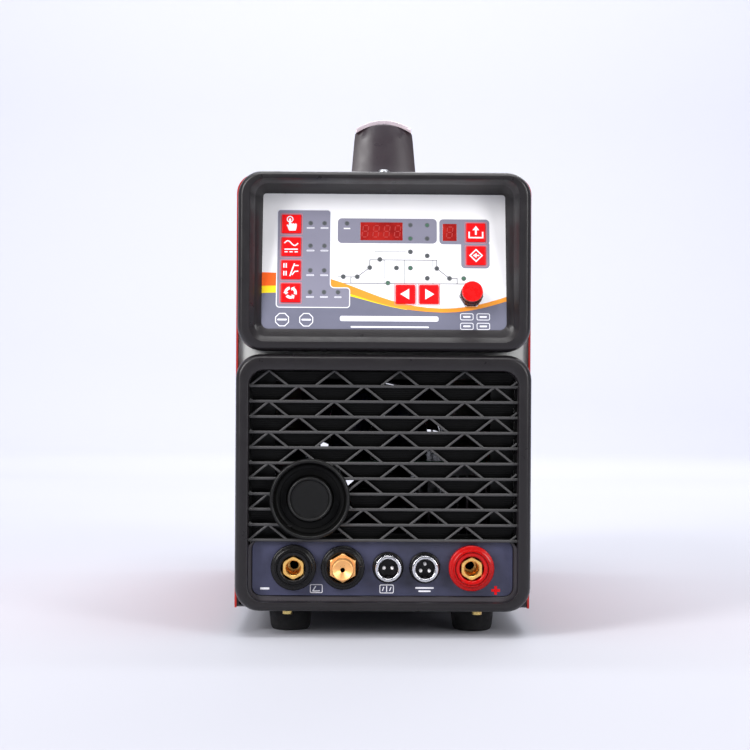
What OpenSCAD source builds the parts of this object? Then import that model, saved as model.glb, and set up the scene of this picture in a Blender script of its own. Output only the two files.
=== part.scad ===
// TIG welding machine: an inverter power source in a folded sheet case.
// X runs to the right seen from the front, the front faces -Y, and Z is up.
// The origin is on the floor, under the middle of the machine.

/* [Case] */
// Outer width of the folded cover
cover_w = 183; // [181.5:0.5:186]
// Length of the cover from front edge to rear edge
cover_len = 380; // [360:10:420]
// Height of the case from its floor to its roof
case_h = 269; // [267:1:271]
// Outer radius of the cover's top corners
cover_corner_r = 12; // [8:1:14]
// Thickness of the sheet metal
sheet = 1.2; // [0.8:0.1:1.5]
// Distance from the middle of the case to the outer face of each end plate
plate_y = 186.5; // [180:0.5:195]

/* [Front mouldings] */
// Depth of both front mouldings, in front of the front plate
bezel_depth = 25.5; // [24:0.5:30]
// Outer corner radius of the mouldings
bezel_r = 15; // [13:0.5:18]
// Width of the upper moulding
upper_w = 179.5; // [178:0.5:182]
// Height of the upper moulding
upper_h = 110; // [108:1:111]
// Width of the lower moulding
lower_w = 181; // [179:0.5:182]
// Height of the lower moulding
lower_h = 157; // [156:1:157]
// Width of the opening in the lower moulding
lower_open_w = 164.6; // [162:0.2:166]
// Height of the opening in the lower moulding
lower_open_h = 141.1; // [139:0.1:142]

/* [Grille] */
// Distance between neighbouring horizontal bars
bar_pitch = 9.43; // [9:0.01:9.6]
// Number of horizontal bars
bar_count = 11; // [10:1:11]
// Thickness of a horizontal bar
bar_t = 1.7; // [1.2:0.1:2.4]
// Thickness of a slanted rib
rib_t = 1.3; // [1:0.1:1.8]
// Distance between neighbouring rib pairs of one row
rib_pitch = 40; // [38:0.5:42]
// Half of a rib pair's width at its feet
rib_half = 11; // [9:0.5:13]
// Outer radius of the round boss
boss_r = 24.6; // [22:0.1:25]
// Distance of the boss to the left of the middle
boss_left = 44.8; // [42:0.1:46]

/* [Sockets] */
// Height of the socket row above the floor
socket_z = 42.5; // [42:0.1:43.5]
// Radius of a weld socket's flange
weld_flange_r = 13.9; // [13:0.1:14.2]
// Radius of the bore that a weld plug's spigot enters
weld_bore_r = 4.5; // [4:0.1:5]
// Depth of that bore
weld_bore_depth = 22; // [20:1:26]
// Distance of the negative socket to the left of the middle
negative_left = 54.6; // [54:0.1:56]
// Distance of the torch connector to the left of the middle
torch_left = 24.4; // [23:0.1:25]
// Distance of the two-pin socket to the right of the middle
two_pin_right = 3.3; // [3:0.1:4]
// Distance of the three-pin socket to the right of the middle
three_pin_right = 25.9; // [25:0.1:26.5]
// Distance of the positive socket to the right of the middle
positive_right = 54.4; // [54:0.1:56]
// Outer radius of a remote socket's sleeve
sleeve_r = 8.05; // [7.9:0.05:8.1]

/* [Control panel] */
// Backward lean of the panel in degrees
panel_lean = 12.6; // [11:0.1:13.5]
// Visible width of the panel
panel_w = 150.5; // [149:0.5:151]
// Visible height of the panel, measured up its slope
panel_h = 86.8; // [85:0.1:87]
// Edge length of a key's square cap
key_size = 12.2; // [11:0.1:12.4]
// Distance between neighbouring keys of the left column
key_pitch = 14.75; // [14.6:0.05:15]
// How far a key travels when it is pressed
key_travel = 0.6; // [0.4:0.1:0.6]
// Height of a key's cap above the panel
key_proud = 0.9; // [0.7:0.1:1.2]
// Radius of the knob's red cap
knob_cap_r = 6.4; // [6:0.1:6.6]
// Radius of the encoder's shaft
encoder_shaft_r = 3; // [2.5:0.1:3.2]

/* [Handle] */
// Height of the handle above the case
handle_h = 40; // [38:1:46]
// Length of the handle at its feet
handle_len = 336; // [300:2:340]
// Width of the handle at its feet
handle_w = 42; // [38:1:44]
// Width of the handle at its top
handle_top_w = 35.6; // [32:0.1:36]
// Thickness of the bright strip on the handle
strip_t = 2.7; // [2:0.1:3]

/* [Feet] */
// Height of a rubber foot
foot_h = 16; // [14:1:20]
// Radius of a foot where it meets the case
foot_top_r = 13.75; // [12:0.25:15]
// Sideways distance of each foot from the middle
foot_x = 57.5; // [55:0.5:62]
// Distance of each foot towards the front or the rear
foot_y = 166; // [150:1:168]

/* [Cooling] */
// Edge length of the fan's square frame
fan_size = 120; // [120:1:120]
// Thickness of the fan
fan_depth = 38; // [32:1:38]
// Height of the fan's axis above the floor
fan_z = 100; // [96:1:104]
// Number of fan blades
blade_count = 7; // [5:1:9]
// Number of fins on each heat sink
fin_count = 9; // [6:1:10]

/* [Hidden] */

$fn = 48;
hull_fn = 32;
eps = 0.01;         // overlap that keeps cuts clean
gap = 0.1;          // play between fixed parts
play = 0.3;         // play between parts that move past each other
run_play = 0.05;    // radial play of a turning or sliding fit

floor_z = foot_h;
roof_z = foot_h + case_h;
front_y = -plate_y - bezel_depth;

// Front mouldings
rebate_len = cover_len / 2 - plate_y + play;      // length of the step inside the cover
rebate_in = sheet + 2 * gap;
front_slope = 5;                                  // depth of the sloping front edge
slope_in = 3;                                     // how far that edge slopes in
recess = [158.7, 94.5];                           // opening in front of the panel
upper_window = [158, 96];                         // openings in the front plate
lower_window = [134, 96];
rear_frame_depth = 20;
rear_rim = 8;                                     // top and bottom rims of the rear frame
lower_mid_z = floor_z + lower_h / 2;
upper_mid_z = roof_z - upper_h / 2;
lower_open_z = floor_z + 6;                       // bottom of the opening
lower_open_mid_z = lower_open_z + lower_open_h / 2;
lower_open_r = 9.5;
plate_front_y = front_y + 10;                     // face of the connector plate
connector_plate_w = 160;
connector_plate_h = 34;
connector_plate_z = 42;
connector_plate_t = 2;
ledge_top_z = 59;

// Control panel, placed by its middle
panel_z = upper_mid_z + 0.85;
panel_mid_y = front_y + 15.5;
panel_t = 2;
panel_lip = 2.2;                                  // hidden border of the panel
board_gap = 14;                                   // from panel back to board
key_hole = key_size + 2 * play;
left_keys_u = -57.5;
left_keys_v = 23.6;
right_keys_u = 56.8;
right_keys_v = [18.8, 3.9];
arrow_keys_u = [13.1, 27.6];
arrow_keys_v = -21.1;
key_flange = 13.6;                                // hidden flange that stops a key falling out
key_flange_t = 1.2;
key_stem_r = 1.8;
bushing_r = 4.5;                                  // threaded neck of the encoder
knob_u = 53.5;
knob_v = -22.5;
window_large = [26.6, 11.9];
window_large_at = [-1.7, 19.3];
window_small = [9, 11.3];
window_t = 1.6;
window_small_at = [40.6, 18.9];
lamp_r = 1.15;
left_lamps = [for (row = [24.3, 9.7, -6.1, -20]) for (u = [-45.6, -37]) [u, row]];
unit_lamps = [for (u = [16.2, 26.6]) for (v = [14.8, 23.5]) [u, v]];
curve_lamps = [
    [-25.2, -10], [-16.6, -10], [-8.9, -4.1], [-2.7, 1.2], [7.6, -4.2],
    [16.2, -4.2], [16.2, 6.2], [26.6, 3.7], [26.6, -10.7], [2.3, -13.9],
    [32.5, -4.4], [40.3, -10.7], [49.1, -10.7]
];
lamps = concat(left_lamps, [[-28.4, -20], [-23.1, 24.3]], unit_lamps, curve_lamps);

// Sockets
negative_x = -negative_left;
torch_x = -torch_left;
positive_x = positive_right;
neck_r = 10.8;
shell_front = 6.5;                                // flange thickness
collar_r = 11.3;
collar_front = 9;
contact_af = 12.5;
contact_front = 7.5;                              // contact length ahead of the plate
hex_seat = 3;                                     // depth of the hexagons behind the plate's face
contact_r = 6;
stud_r = 4;
nozzle_af = 15.4;
nozzle_r = 6.7;
nozzle_chamfer = 1.4;
nozzle_cone_r = 5.1;                              // mouth of the cone in the nozzle's face
gas_bore_r = 1.7;
nozzle_tip_y = front_y - 10;
sleeve_inner_r = 6;
sleeve_neck_r = 7.6;
insert_back = 12;                                 // from the plate's face to the insert's back
ring_t = 2.6;                                     // thickness of the ring behind the sleeve
sleeve_mouth = 10.3;                              // sleeve length ahead of the plate
pin_reach = 5.5;                                  // pin length ahead of the plate
remote_pin_r = 1;
key_way = [2.4, 1.5];

// Handle
handle_top_z = roof_z + handle_h;
handle_arc_r = 30.2;
handle_bar_t = 14;
handle_leg = 30;
handle_lean = 18;
flange_t = 4;

case_screw_r = 1.75;
handle_screw_r = 2.1;                             // also the fan screws
edge_screw = [58.3, 199];                         // screws up into the end mouldings
edge_screw_r = 1.5;
edge_screw_len = 4;

// Fan and rear
fan_y = plate_y - sheet;
fan_bore_r = 57;
hub_r = 19;
fan_hole = 52.5;                                  // fan screws from the fan's axis
rear_x = 50;                                      // column of the rear fittings
switch_z = 235;
gas_z = 215;
gland_z = 240;
earth_z = 185;
rocker_tilt = 8;
rocker_pin_r = 1.5;
rocker_pivot_y = plate_y - 3;

// Inside
floor_top_z = floor_z + sheet;
sink_x = 56;                                      // middle of each heat sink
sink_w = 56;
sink_y = [-30, 130];
sink_top_z = 97.2;
sink_base_t = 7;
module_h = 5;
main_board_z = sink_top_z + module_h;
main_board_t = 1.6;
capacitor_r = 15;
hose_r = 4;
hose_route = [
    [-50, 143.8, 215], [-50, 130, 215], [-50, 90, 215], [-50, 40, 214],
    [-50, -10, 214], [-50, -60, 214], [-50, -100, 213], [-49, -118, 206],
    [-48, -126, 192], [-47, -128, 170], [-46, -129, 145], [-44, -130, 120],
    [-42, -130, 95], [-38, -131, 75], [-32, -134, 60], [-27, -140, 49],
    [-24.6, -147, 43.6], [-24.4, -151.5, 42.5], [-24.4, -155.8, 42.5]
];

// ---- helpers ----

// A rectangle with round corners, centred.
module round_rect(w, h, r) {
    square([w - 2 * r, h], center = true);
    square([w, h - 2 * r], center = true);
    for (x = [-1, 1]) for (y = [-1, 1])
        translate([x * (w / 2 - r), y * (h / 2 - r)]) circle(r);
}

// Turns a flat shape to stand in XZ, growing towards -Y from the given y.
module to_front(x, y, z) {
    translate([x, y, z]) rotate([90, 0, 0]) children();
}

// The same for the rear: it grows towards +Y.
module to_rear(x, y, z) {
    translate([x, y, z]) rotate([-90, 0, 0]) children();
}

// Places children on the sloped panel: u right, v up the slope, w outwards.
module on_panel(u = 0, v = 0, w = 0) {
    translate([0, panel_mid_y, panel_z]) rotate([90 - panel_lean, 0, 0])
        translate([u, v, w]) children();
}

module tube(r_out, r_in, h) {
    difference() {
        cylinder(r = r_out, h = h);
        translate([0, 0, -eps]) cylinder(r = r_in, h = h + 2 * eps);
    }
}

// A hexagonal prism given by its width across flats, points up and down.
module hexagon(across_flats, h) {
    rotate([0, 0, 90]) cylinder(r = across_flats / sqrt(3), h = h, $fn = 6);
}

// A pan-head screw along +Z with its head above z = 0.
module pan_screw(r, length, head_r, head_h) {
    difference() {
        union() {
            translate([0, 0, -length]) cylinder(r = r, h = length + eps);
            cylinder(r = head_r, h = head_h);
        }
        for (a = [0, 90]) rotate([0, 0, a])
            translate([-head_r * 0.6, -0.5, head_h * 0.45])
                cube([head_r * 1.2, 1, head_h]);
    }
}

// ---- case ----

side_screw_y = [-150, -50, 50, 150];
louvre_rows = 8;
louvre_len = 62;
louvre_h = 3;
louvre_pitch = 9;

module cover_profile(inset) {
    w = cover_w - 2 * inset;
    top = roof_z - inset;
    r = cover_corner_r - inset;
    translate([-w / 2, floor_z]) square([w, top - r - floor_z]);
    translate([-w / 2 + r, floor_z]) square([w - 2 * r, top - floor_z]);
    for (x = [-1, 1]) translate([x * (w / 2 - r), top - r]) circle(r);
}

module louvre_slots() {
    for (row = [0 : louvre_rows - 1]) for (y = [-85, 85])
        translate([-cover_w, y - louvre_len / 2, 70 + row * louvre_pitch])
            cube([2 * cover_w, louvre_len, louvre_h]);
}

module side_screw_holes(r) {
    for (y = side_screw_y) translate([-cover_w, y, floor_z + 10])
        rotate([0, 90, 0]) cylinder(r = r, h = 2 * cover_w);
}

module case_cover() color("orangered") difference() {
    to_front(0, cover_len / 2, 0) linear_extrude(cover_len) difference() {
        cover_profile(0);
        cover_profile(sheet);
        translate([-cover_w / 2 + sheet, 0]) square([cover_w - 2 * sheet, floor_z + 1]);
    }
    louvre_slots();
    side_screw_holes(2.1);
    for (y = [-1, 1]) translate([0, y * (handle_len / 2 - 5), roof_z - 5])
        cylinder(r = 2.2, h = 10);
}

module base_pan() color("dimgray") {
    w = cover_w - 2 * sheet - 2 * gap;
    length = 2 * (plate_y - sheet - gap);
    flange_h = 20;
    difference() {
        union() {
            translate([-w / 2, -length / 2, floor_z]) cube([w, length, sheet]);
            for (side = [-1, 1])
                translate([side * (w / 2 - sheet / 2) - sheet / 2, -length / 2, floor_z])
                    cube([sheet, length, flange_h]);
        }
        side_screw_holes(1.8);
        for (x = [-1, 1]) for (y = [-1, 1])
            translate([x * foot_x, y * foot_y, floor_z - eps])
                cylinder(r = 2.6, h = 2 * sheet);
    }
}

module end_plate_shape() {
    w = cover_w - 2 * sheet - 2 * gap;
    h = case_h - sheet - gap;
    translate([0, floor_z + h / 2]) round_rect(w, h, cover_corner_r - sheet);
}

module front_plate() color("whitesmoke")
    to_front(0, -plate_y + sheet, 0) linear_extrude(sheet) difference() {
        end_plate_shape();
        translate([0, 228]) round_rect(upper_window.x, upper_window.y, 4);
        translate([0, 110]) round_rect(lower_window.x, lower_window.y, 4);
        for (x = [negative_x, torch_x, positive_x]) translate([x, socket_z])
            circle(neck_r + gap);
        for (x = [two_pin_right, three_pin_right]) translate([x, socket_z])
            circle(sleeve_r + gap);
    }

module rear_plate() color("whitesmoke")
    to_front(0, plate_y, 0) linear_extrude(sheet) difference() {
        end_plate_shape();
        translate([0, fan_z]) circle(fan_bore_r - 1);
        for (x = [-fan_hole, fan_hole]) for (z = [-fan_hole, fan_hole]) translate([x, fan_z + z])
            circle(2.2);
        translate([rear_x, switch_z]) square([27, 33], center = true);
        translate([-rear_x, gas_z]) circle(5.2);
        translate([0, gland_z]) circle(8.2);
        translate([-rear_x, earth_z]) circle(3.2);
    }

// A moulding whose front edge slopes in, with a step behind that slips inside the cover.
module moulding_block(w, h, r, depth) {
    linear_extrude(rebate_len) round_rect(w - 2 * rebate_in, h - 2 * rebate_in, r - rebate_in);
    translate([0, 0, rebate_len - eps])
        linear_extrude(depth - front_slope - rebate_len + eps) round_rect(w, h, r);
    hull() {
        translate([0, 0, depth - front_slope - eps]) linear_extrude(eps)
            round_rect(w, h, r, $fn = hull_fn);
        translate([0, 0, depth - eps]) linear_extrude(eps)
            round_rect(w - 2 * slope_in, h - 2 * slope_in, r - slope_in, $fn = hull_fn);
    }
}

module rear_frame() color("#2b2b2e") {
    difference() {
        to_rear(0, plate_y, roof_z - case_h / 2)
            moulding_block(lower_w, case_h, bezel_r, rear_frame_depth);
        to_rear(0, plate_y - eps, roof_z - case_h / 2)
            linear_extrude(rear_frame_depth + 1)
                round_rect(lower_open_w, case_h - 2 * rear_rim, lower_open_r);
        edge_screw_holes(1);
    }
}

module upper_bezel() color("#39363a") difference() {
    to_front(0, -plate_y, upper_mid_z)
        moulding_block(upper_w, upper_h, bezel_r, bezel_depth);
    // The sloped recess in front of the panel
    hull() {
        to_front(0, front_y + 1, panel_z) linear_extrude(2)
            round_rect(recess.x, recess.y, 8, $fn = hull_fn);
        on_panel(0, 0, 0) linear_extrude(eps)
            round_rect(panel_w, panel_h, 5, $fn = hull_fn);
    }
    // The pocket that holds the panel and its board
    on_panel(0, 0, -60) linear_extrude(60)
        round_rect(panel_w + 2 * panel_lip, panel_h + 2 * panel_lip, 5);
}

module edge_screw_holes(end)
    for (x = [-1, 1]) translate([x * edge_screw.x, end * edge_screw.y, floor_z - eps])
        cylinder(r = edge_screw_r + 0.05, h = edge_screw_len + 0.2);

module lower_bezel() color("#39363a") difference() {
    lower_bezel_moulding();
    edge_screw_holes(-1);
}

module lower_bezel_moulding() {
    difference() {
        to_front(0, -plate_y, lower_mid_z)
            moulding_block(lower_w, lower_h, bezel_r, bezel_depth);
        to_front(0, -plate_y + 1, lower_open_mid_z)
            linear_extrude(bezel_depth + 2) round_rect(lower_open_w, lower_open_h, lower_open_r);
    }
    // The ledge that the connector plate sits in
    difference() {
        intersection() {
            translate([-lower_w / 2 + 4, plate_front_y - 2, floor_z + 3])
                cube([lower_w - 8, 8, ledge_top_z - floor_z - 3]);
            to_front(0, -plate_y + 1, lower_open_mid_z)
                linear_extrude(bezel_depth)
                    round_rect(lower_open_w + 2, lower_open_h + 2, lower_open_r + 1);
        }
        to_front(0, plate_front_y + connector_plate_t, connector_plate_z)
            linear_extrude(10) round_rect(connector_plate_w + 2 * gap, connector_plate_h + 2 * gap, 5.6);
        to_front(0, plate_front_y + 10, connector_plate_z)
            linear_extrude(12) round_rect(150, 28, 3);
    }
}

// ---- grille ----

grille_top_z = lower_open_z + lower_open_h - gap;
grille_bottom_z = ledge_top_z + gap;
grille_w = lower_open_w - 2 * gap;
grille_front_y = front_y + 5;
bar_depth = 8;
grille_border = 1.5;
boss_z = 84.4;
boss_wall = 2.4;
boss_disc_r = 13.6;
first_bar_z = grille_top_z - bar_pitch;
row_len = sqrt(rib_half * rib_half + bar_pitch * bar_pitch);
rib_angle = atan2(bar_pitch, rib_half);

module rib_pair(x, z) {
    for (side = [-1, 1]) translate([x, z]) rotate([0, 0, -90 + side * (90 - rib_angle)])
        translate([0, -rib_t / 2]) square([row_len, rib_t]);
}

// The opening that the grille fills, less a margin all round.
module grille_window(margin = 0) intersection() {
    translate([0, lower_open_mid_z])
        round_rect(grille_w - 2 * margin, lower_open_h - 2 * gap - 2 * margin,
            lower_open_r - gap - margin);
    translate([-grille_w / 2, grille_bottom_z + margin]) square([grille_w, lower_open_h]);
}

module grille_lattice() {
    for (row = [0 : bar_count - 1]) {
        z = first_bar_z - row * bar_pitch;
        shift = row % 2 == 0 ? -110.2 : -92;
        translate([-grille_w / 2, z - bar_t / 2]) square([grille_w, bar_t]);
        for (pair = [0 : 5]) rib_pair(shift + pair * rib_pitch, z + bar_pitch);
    }
}

module grille_slats() {
    // One slanted slat in the gap between neighbouring rib pairs
    slat_w = rib_pitch - 2 * rib_half;
    for (row = [0 : bar_count - 1]) {
        z = first_bar_z - row * bar_pitch + bar_pitch / 2;
        shift = row % 2 == 0 ? -90.2 : -72;
        for (pair = [0 : 4]) {
            x = shift + pair * rib_pitch;
            if (abs(x) < grille_w / 2 - slat_w / 2)
                translate([x - slat_w / 2, grille_front_y + bar_depth - 4, z])
                    rotate([35, 0, 0]) translate([0, 0, -bar_pitch / 2])
                        cube([slat_w, 1.2, bar_pitch]);
        }
    }
}

module boss_clearance() {
    to_front(-boss_left, grille_front_y + 20, boss_z) cylinder(r = boss_r - 0.5, h = 40);
}

module vent_grille() color("#323035") {
    difference() {
        union() {
            to_front(0, grille_front_y + bar_depth, 0) linear_extrude(bar_depth)
                intersection() {
                    grille_lattice();
                    grille_window();
                }
            intersection() {
                grille_slats();
                to_front(0, grille_front_y + 20, 0) linear_extrude(40) grille_window();
            }
            to_front(0, grille_front_y + bar_depth + 2, 0) linear_extrude(bar_depth)
                difference() {
                    grille_window();
                    grille_window(grille_border);
                }
        }
        boss_clearance();
    }
    // Round boss: outer ring, deep bowl and central disc
    to_front(-boss_left, grille_front_y + bar_depth, boss_z) {
        tube(boss_r, boss_r - boss_wall, bar_depth + 4.5);
        cylinder(r = boss_r - 1, h = 2);
        cylinder(r = boss_disc_r, h = 8.5);
        tube(boss_disc_r, boss_disc_r - 2, 9.7);
    }
}

module connector_plate() color("#3f4160")
    to_front(0, plate_front_y + connector_plate_t, 0) linear_extrude(connector_plate_t)
        difference() {
            translate([0, connector_plate_z])
                round_rect(connector_plate_w, connector_plate_h, 5.5);
            for (x = [negative_x, torch_x, positive_x]) translate([x, socket_z])
                circle(neck_r + gap);
            for (x = [two_pin_right, three_pin_right]) translate([x, socket_z])
                circle(sleeve_r + gap);
        }

// ---- sockets ----

socket_back = 24;   // from the plate's face back into the case

module weld_shell() difference() {
    union() {
        cylinder(r = weld_flange_r, h = shell_front);
        cylinder(r = collar_r, h = collar_front);
        translate([0, 0, -socket_back]) cylinder(r = neck_r, h = socket_back + eps);
    }
    translate([0, 0, -hex_seat]) cylinder(r = 7.5, h = 20);
    translate([0, 0, -socket_back - eps]) cylinder(r = contact_r + gap, h = 40);
    // The groove round the collar
    translate([0, 0, collar_front - 1.5]) tube(10.4, 9.6, 3);
}

module weld_contact() difference() {
    union() {
        translate([0, 0, -hex_seat]) hexagon(contact_af, hex_seat + contact_front);
        translate([0, 0, -37]) cylinder(r = contact_r, h = 35);
        translate([0, 0, -47]) cylinder(r = stud_r, h = 11);
    }
    translate([0, 0, contact_front - weld_bore_depth]) cylinder(r = weld_bore_r, h = 40);
    translate([0, 0, -4 - weld_bore_depth]) cylinder(r = 2.6, h = 40);
    translate([0, 0, -2]) translate([-key_way.x / 2, -weld_bore_r - key_way.y, 0])
        cube([key_way.x, 4, 20]);
}

module negative_socket_shell() color("#222226")
    to_front(negative_x, plate_front_y, socket_z) weld_shell();
module negative_socket_contact() color("goldenrod")
    to_front(negative_x, plate_front_y, socket_z) weld_contact();
module positive_socket_shell() color("red")
    to_front(positive_x, plate_front_y, socket_z) weld_shell();
module positive_socket_contact() color("goldenrod")
    to_front(positive_x, plate_front_y, socket_z) weld_contact();

module torch_connector_shell() color("#222226")
    to_front(torch_x, plate_front_y, socket_z) difference() {
        union() {
            cylinder(r = 13.4, h = 5.5);
            cylinder(r = 11, h = 6.5);
            translate([0, 0, -socket_back]) cylinder(r = neck_r, h = socket_back + eps);
        }
        translate([0, 0, -hex_seat]) cylinder(r = 9.1, h = 20);
        translate([0, 0, -socket_back - eps]) cylinder(r = contact_r + gap, h = 40);
    }

module torch_connector_nozzle() color("goldenrod") {
    tip = plate_front_y - nozzle_tip_y;
    to_front(torch_x, plate_front_y, socket_z) difference() {
        union() {
            translate([0, 0, -hex_seat]) hexagon(nozzle_af, 10);
            rotate_extrude() polygon([
                [0, 0], [nozzle_r, 0], [nozzle_r, tip - nozzle_chamfer],
                [nozzle_r - nozzle_chamfer, tip], [0, tip]
            ]);
            translate([0, 0, -34]) cylinder(r = contact_r, h = 32);
            translate([0, 0, -46]) cylinder(r = 3, h = 13);
        }
        translate([0, 0, -50]) cylinder(r = gas_bore_r, h = 100);
        translate([0, 0, tip + eps]) rotate_extrude()
            polygon([[0, 0], [nozzle_cone_r, 0], [gas_bore_r, -1.8], [0, -1.8]]);
    }
}

module remote_socket_sleeves() color("silver")
    for (x = [two_pin_right, three_pin_right])
        to_front(x, plate_front_y, socket_z) {
            translate([0, 0, -insert_back])
                tube(sleeve_neck_r, sleeve_inner_r, insert_back + ring_t + gap);
            translate([0, 0, ring_t + gap / 2])
                tube(sleeve_r, sleeve_inner_r, sleeve_mouth - ring_t - gap / 2);
        }

module remote_socket_rings() color("#1d1d20")
    for (x = [two_pin_right, three_pin_right])
        to_front(x, plate_front_y, socket_z) tube(9.6, sleeve_neck_r + gap, ring_t);

two_pins = [[-2.5, 0], [2.5, 0]];
three_pins = [[0, 2.6], [-2.6, -1.6], [2.6, -1.6]];

module insert_body(pins) difference() {
    cylinder(r = sleeve_inner_r - gap, h = 13);
    for (at = pins) translate([at.x, at.y, -1]) cylinder(r = remote_pin_r + run_play, h = 20);
}

module remote_socket_inserts() color("#141416") {
    to_front(two_pin_right, plate_front_y + insert_back, socket_z) insert_body(two_pins);
    to_front(three_pin_right, plate_front_y + insert_back, socket_z) insert_body(three_pins);
}

module pin_set(pins) for (at = pins)
    translate([at.x, at.y, -4]) cylinder(r = remote_pin_r, h = 4 + insert_back + pin_reach);

module remote_socket_pins() color("silver") {
    to_front(two_pin_right, plate_front_y + insert_back, socket_z) pin_set(two_pins);
    to_front(three_pin_right, plate_front_y + insert_back, socket_z) pin_set(three_pins);
}

// ---- control panel ----

module control_panel() color("#eef0f4") {
    on_panel(0, 0, -panel_t) linear_extrude(panel_t) difference() {
        round_rect(panel_w + 2 * panel_lip - 2 * gap, panel_h + 2 * panel_lip - 2 * gap, 5);
        for (at = key_spots) translate(at) square(key_hole, center = true);
        translate(window_large_at) square(window_large + [gap, gap], center = true);
        translate(window_small_at) square(window_small + [gap, gap], center = true);
        for (at = lamps) translate(at) circle(lamp_r + gap);
        translate([knob_u, knob_v]) circle(bushing_r + gap);
    }
    // Studs that carry the control board
    for (u = [-71, 71]) for (v = [-39, 39])
        on_panel(u, v, -panel_t - board_gap) cylinder(r = 3, h = board_gap + eps);
}

key_spots = concat(
    [for (row = [0 : 3]) [left_keys_u, left_keys_v - row * key_pitch]],
    [for (v = right_keys_v) [right_keys_u, v]],
    [for (u = arrow_keys_u) [u, arrow_keys_v]]
);

module key(index) color("red") {
    at = key_spots[index];
    flange_w = -panel_t - play;
    on_panel(at.x, at.y, flange_w - key_flange_t) linear_extrude(key_flange_t)
        square(key_flange, center = true);
    on_panel(at.x, at.y, flange_w - eps)
        linear_extrude(-flange_w + key_proud) round_rect(key_size, key_size, 0.6);
    on_panel(at.x, at.y, -9.5) cylinder(r = key_stem_r, h = 6.1);
}

module key_remote() key(0);
module key_current_type() key(1);
module key_trigger_mode() key(2);
module key_process() key(3);
module key_recall() key(4);
module key_save() key(5);
module key_left() key(6);
module key_right() key(7);

module display_windows() color("darkred") {
    on_panel(window_large_at.x, window_large_at.y, -window_t) linear_extrude(window_t)
        square(window_large, center = true);
    on_panel(window_small_at.x, window_small_at.y, -window_t) linear_extrude(window_t)
        square(window_small, center = true);
}

board_w = -panel_t - board_gap;                   // front face of the board

module indicator_lamps() color("#6f7a78")
    for (at = lamps) on_panel(at.x, at.y, board_w) cylinder(r = lamp_r, h = -board_w + 0.1);

module control_board() color("darkgreen")
    on_panel(0, 0, board_w - 1.6) linear_extrude(1.6) round_rect(148, 84, 2);

module board_components() color("#2a2a2a") {
    for (at = key_spots) on_panel(at.x, at.y, board_w) {
        translate([-3, -3, 0]) cube([6, 6, 3.8]);
        cylinder(r = 1.75, h = 5.6);
    }
    on_panel(window_large_at.x, window_large_at.y, board_w) linear_extrude(12)
        square(window_large - [1, 0], center = true);
    on_panel(window_small_at.x, window_small_at.y, board_w) linear_extrude(12)
        square(window_small, center = true);
}

module encoder_body() color("silver") on_panel(knob_u, knob_v, 0) difference() {
    union() {
        translate([-6, -6.5, board_w]) cube([12, 13, 6.5]);
        translate([0, 0, board_w + 6]) cylinder(r = bushing_r, h = -board_w - 2);
    }
    translate([0, 0, -12]) cylinder(r = encoder_shaft_r + run_play, h = 40);
}

module encoder_shaft() color("silver")
    on_panel(knob_u, knob_v, -11.7) cylinder(r = encoder_shaft_r, h = 22.2);

module encoder_nut() color("silver") on_panel(knob_u, knob_v, 0) difference() {
    hexagon(13, 2.2);
    translate([0, 0, -eps]) cylinder(r = bushing_r + gap, h = 3);
}

module knob_skirt() color("#2a2a2e") on_panel(knob_u, knob_v, 0) difference() {
    rotate_extrude() polygon([[0, 4.6], [7, 4.6], [6.8, 9], [6.2, 9.4], [0, 9.4]]);
    cylinder(r = encoder_shaft_r + run_play, h = 20);
}

module knob_cap() color("red") on_panel(knob_u, knob_v, 0) difference() {
    translate([0, 0, 9.4]) cylinder(r = knob_cap_r, h = 4.6);
    translate([0, 0, 9]) cylinder(r = encoder_shaft_r + run_play, h = 1.6);
}

// ---- handle ----

half_len = handle_len / 2;
lean_back = handle_h * tan(handle_lean);

module handle_side_profile() difference() {
    polygon([
        [-half_len, roof_z], [-half_len, roof_z + flange_t],
        [-half_len + 10, roof_z + flange_t], [-half_len + lean_back + 6, handle_top_z],
        [half_len - lean_back - 6, handle_top_z], [half_len - 10, roof_z + flange_t],
        [half_len, roof_z + flange_t], [half_len, roof_z]
    ]);
    polygon([
        [-half_len + handle_leg + 10, roof_z - 1],
        [-half_len + handle_leg + lean_back, handle_top_z - handle_bar_t],
        [half_len - handle_leg - lean_back, handle_top_z - handle_bar_t],
        [half_len - handle_leg - 10, roof_z - 1]
    ]);
}

// Cross-section with slanted sides and an arched top.
module handle_section(drop) intersection() {
    polygon([
        [-handle_w / 2, roof_z], [handle_w / 2, roof_z],
        [handle_top_w / 2, handle_top_z], [-handle_top_w / 2, handle_top_z]
    ]);
    translate([0, handle_top_z - handle_arc_r]) circle(handle_arc_r - drop);
}

module handle_solid(drop) intersection() {
    rotate([90, 0, 90]) translate([0, 0, -handle_w])
        linear_extrude(2 * handle_w) handle_side_profile();
    union() {
        to_front(0, half_len + 1, 0) linear_extrude(handle_len + 2) handle_section(drop);
        translate([-handle_w / 2, -half_len, roof_z]) cube([handle_w, handle_len, flange_t + 2]);
    }
}

module handle_screw_holes(r) {
    for (side = [-1, 1]) translate([0, side * (half_len - 5), roof_z - 10])
        cylinder(r = r, h = 30);
}

module handle_body() color("#3f3b40") difference() {
    handle_solid(strip_t + gap);
    handle_screw_holes(2.2);
}

module handle_cap() color("gainsboro") difference() {
    intersection() {
        handle_solid(0);
        translate([-handle_w, -half_len, handle_top_z - 9]) cube([2 * handle_w, handle_len, 12]);
    }
    to_front(0, half_len + 2, handle_top_z - handle_arc_r)
        cylinder(r = handle_arc_r - strip_t, h = handle_len + 4);
}

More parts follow.
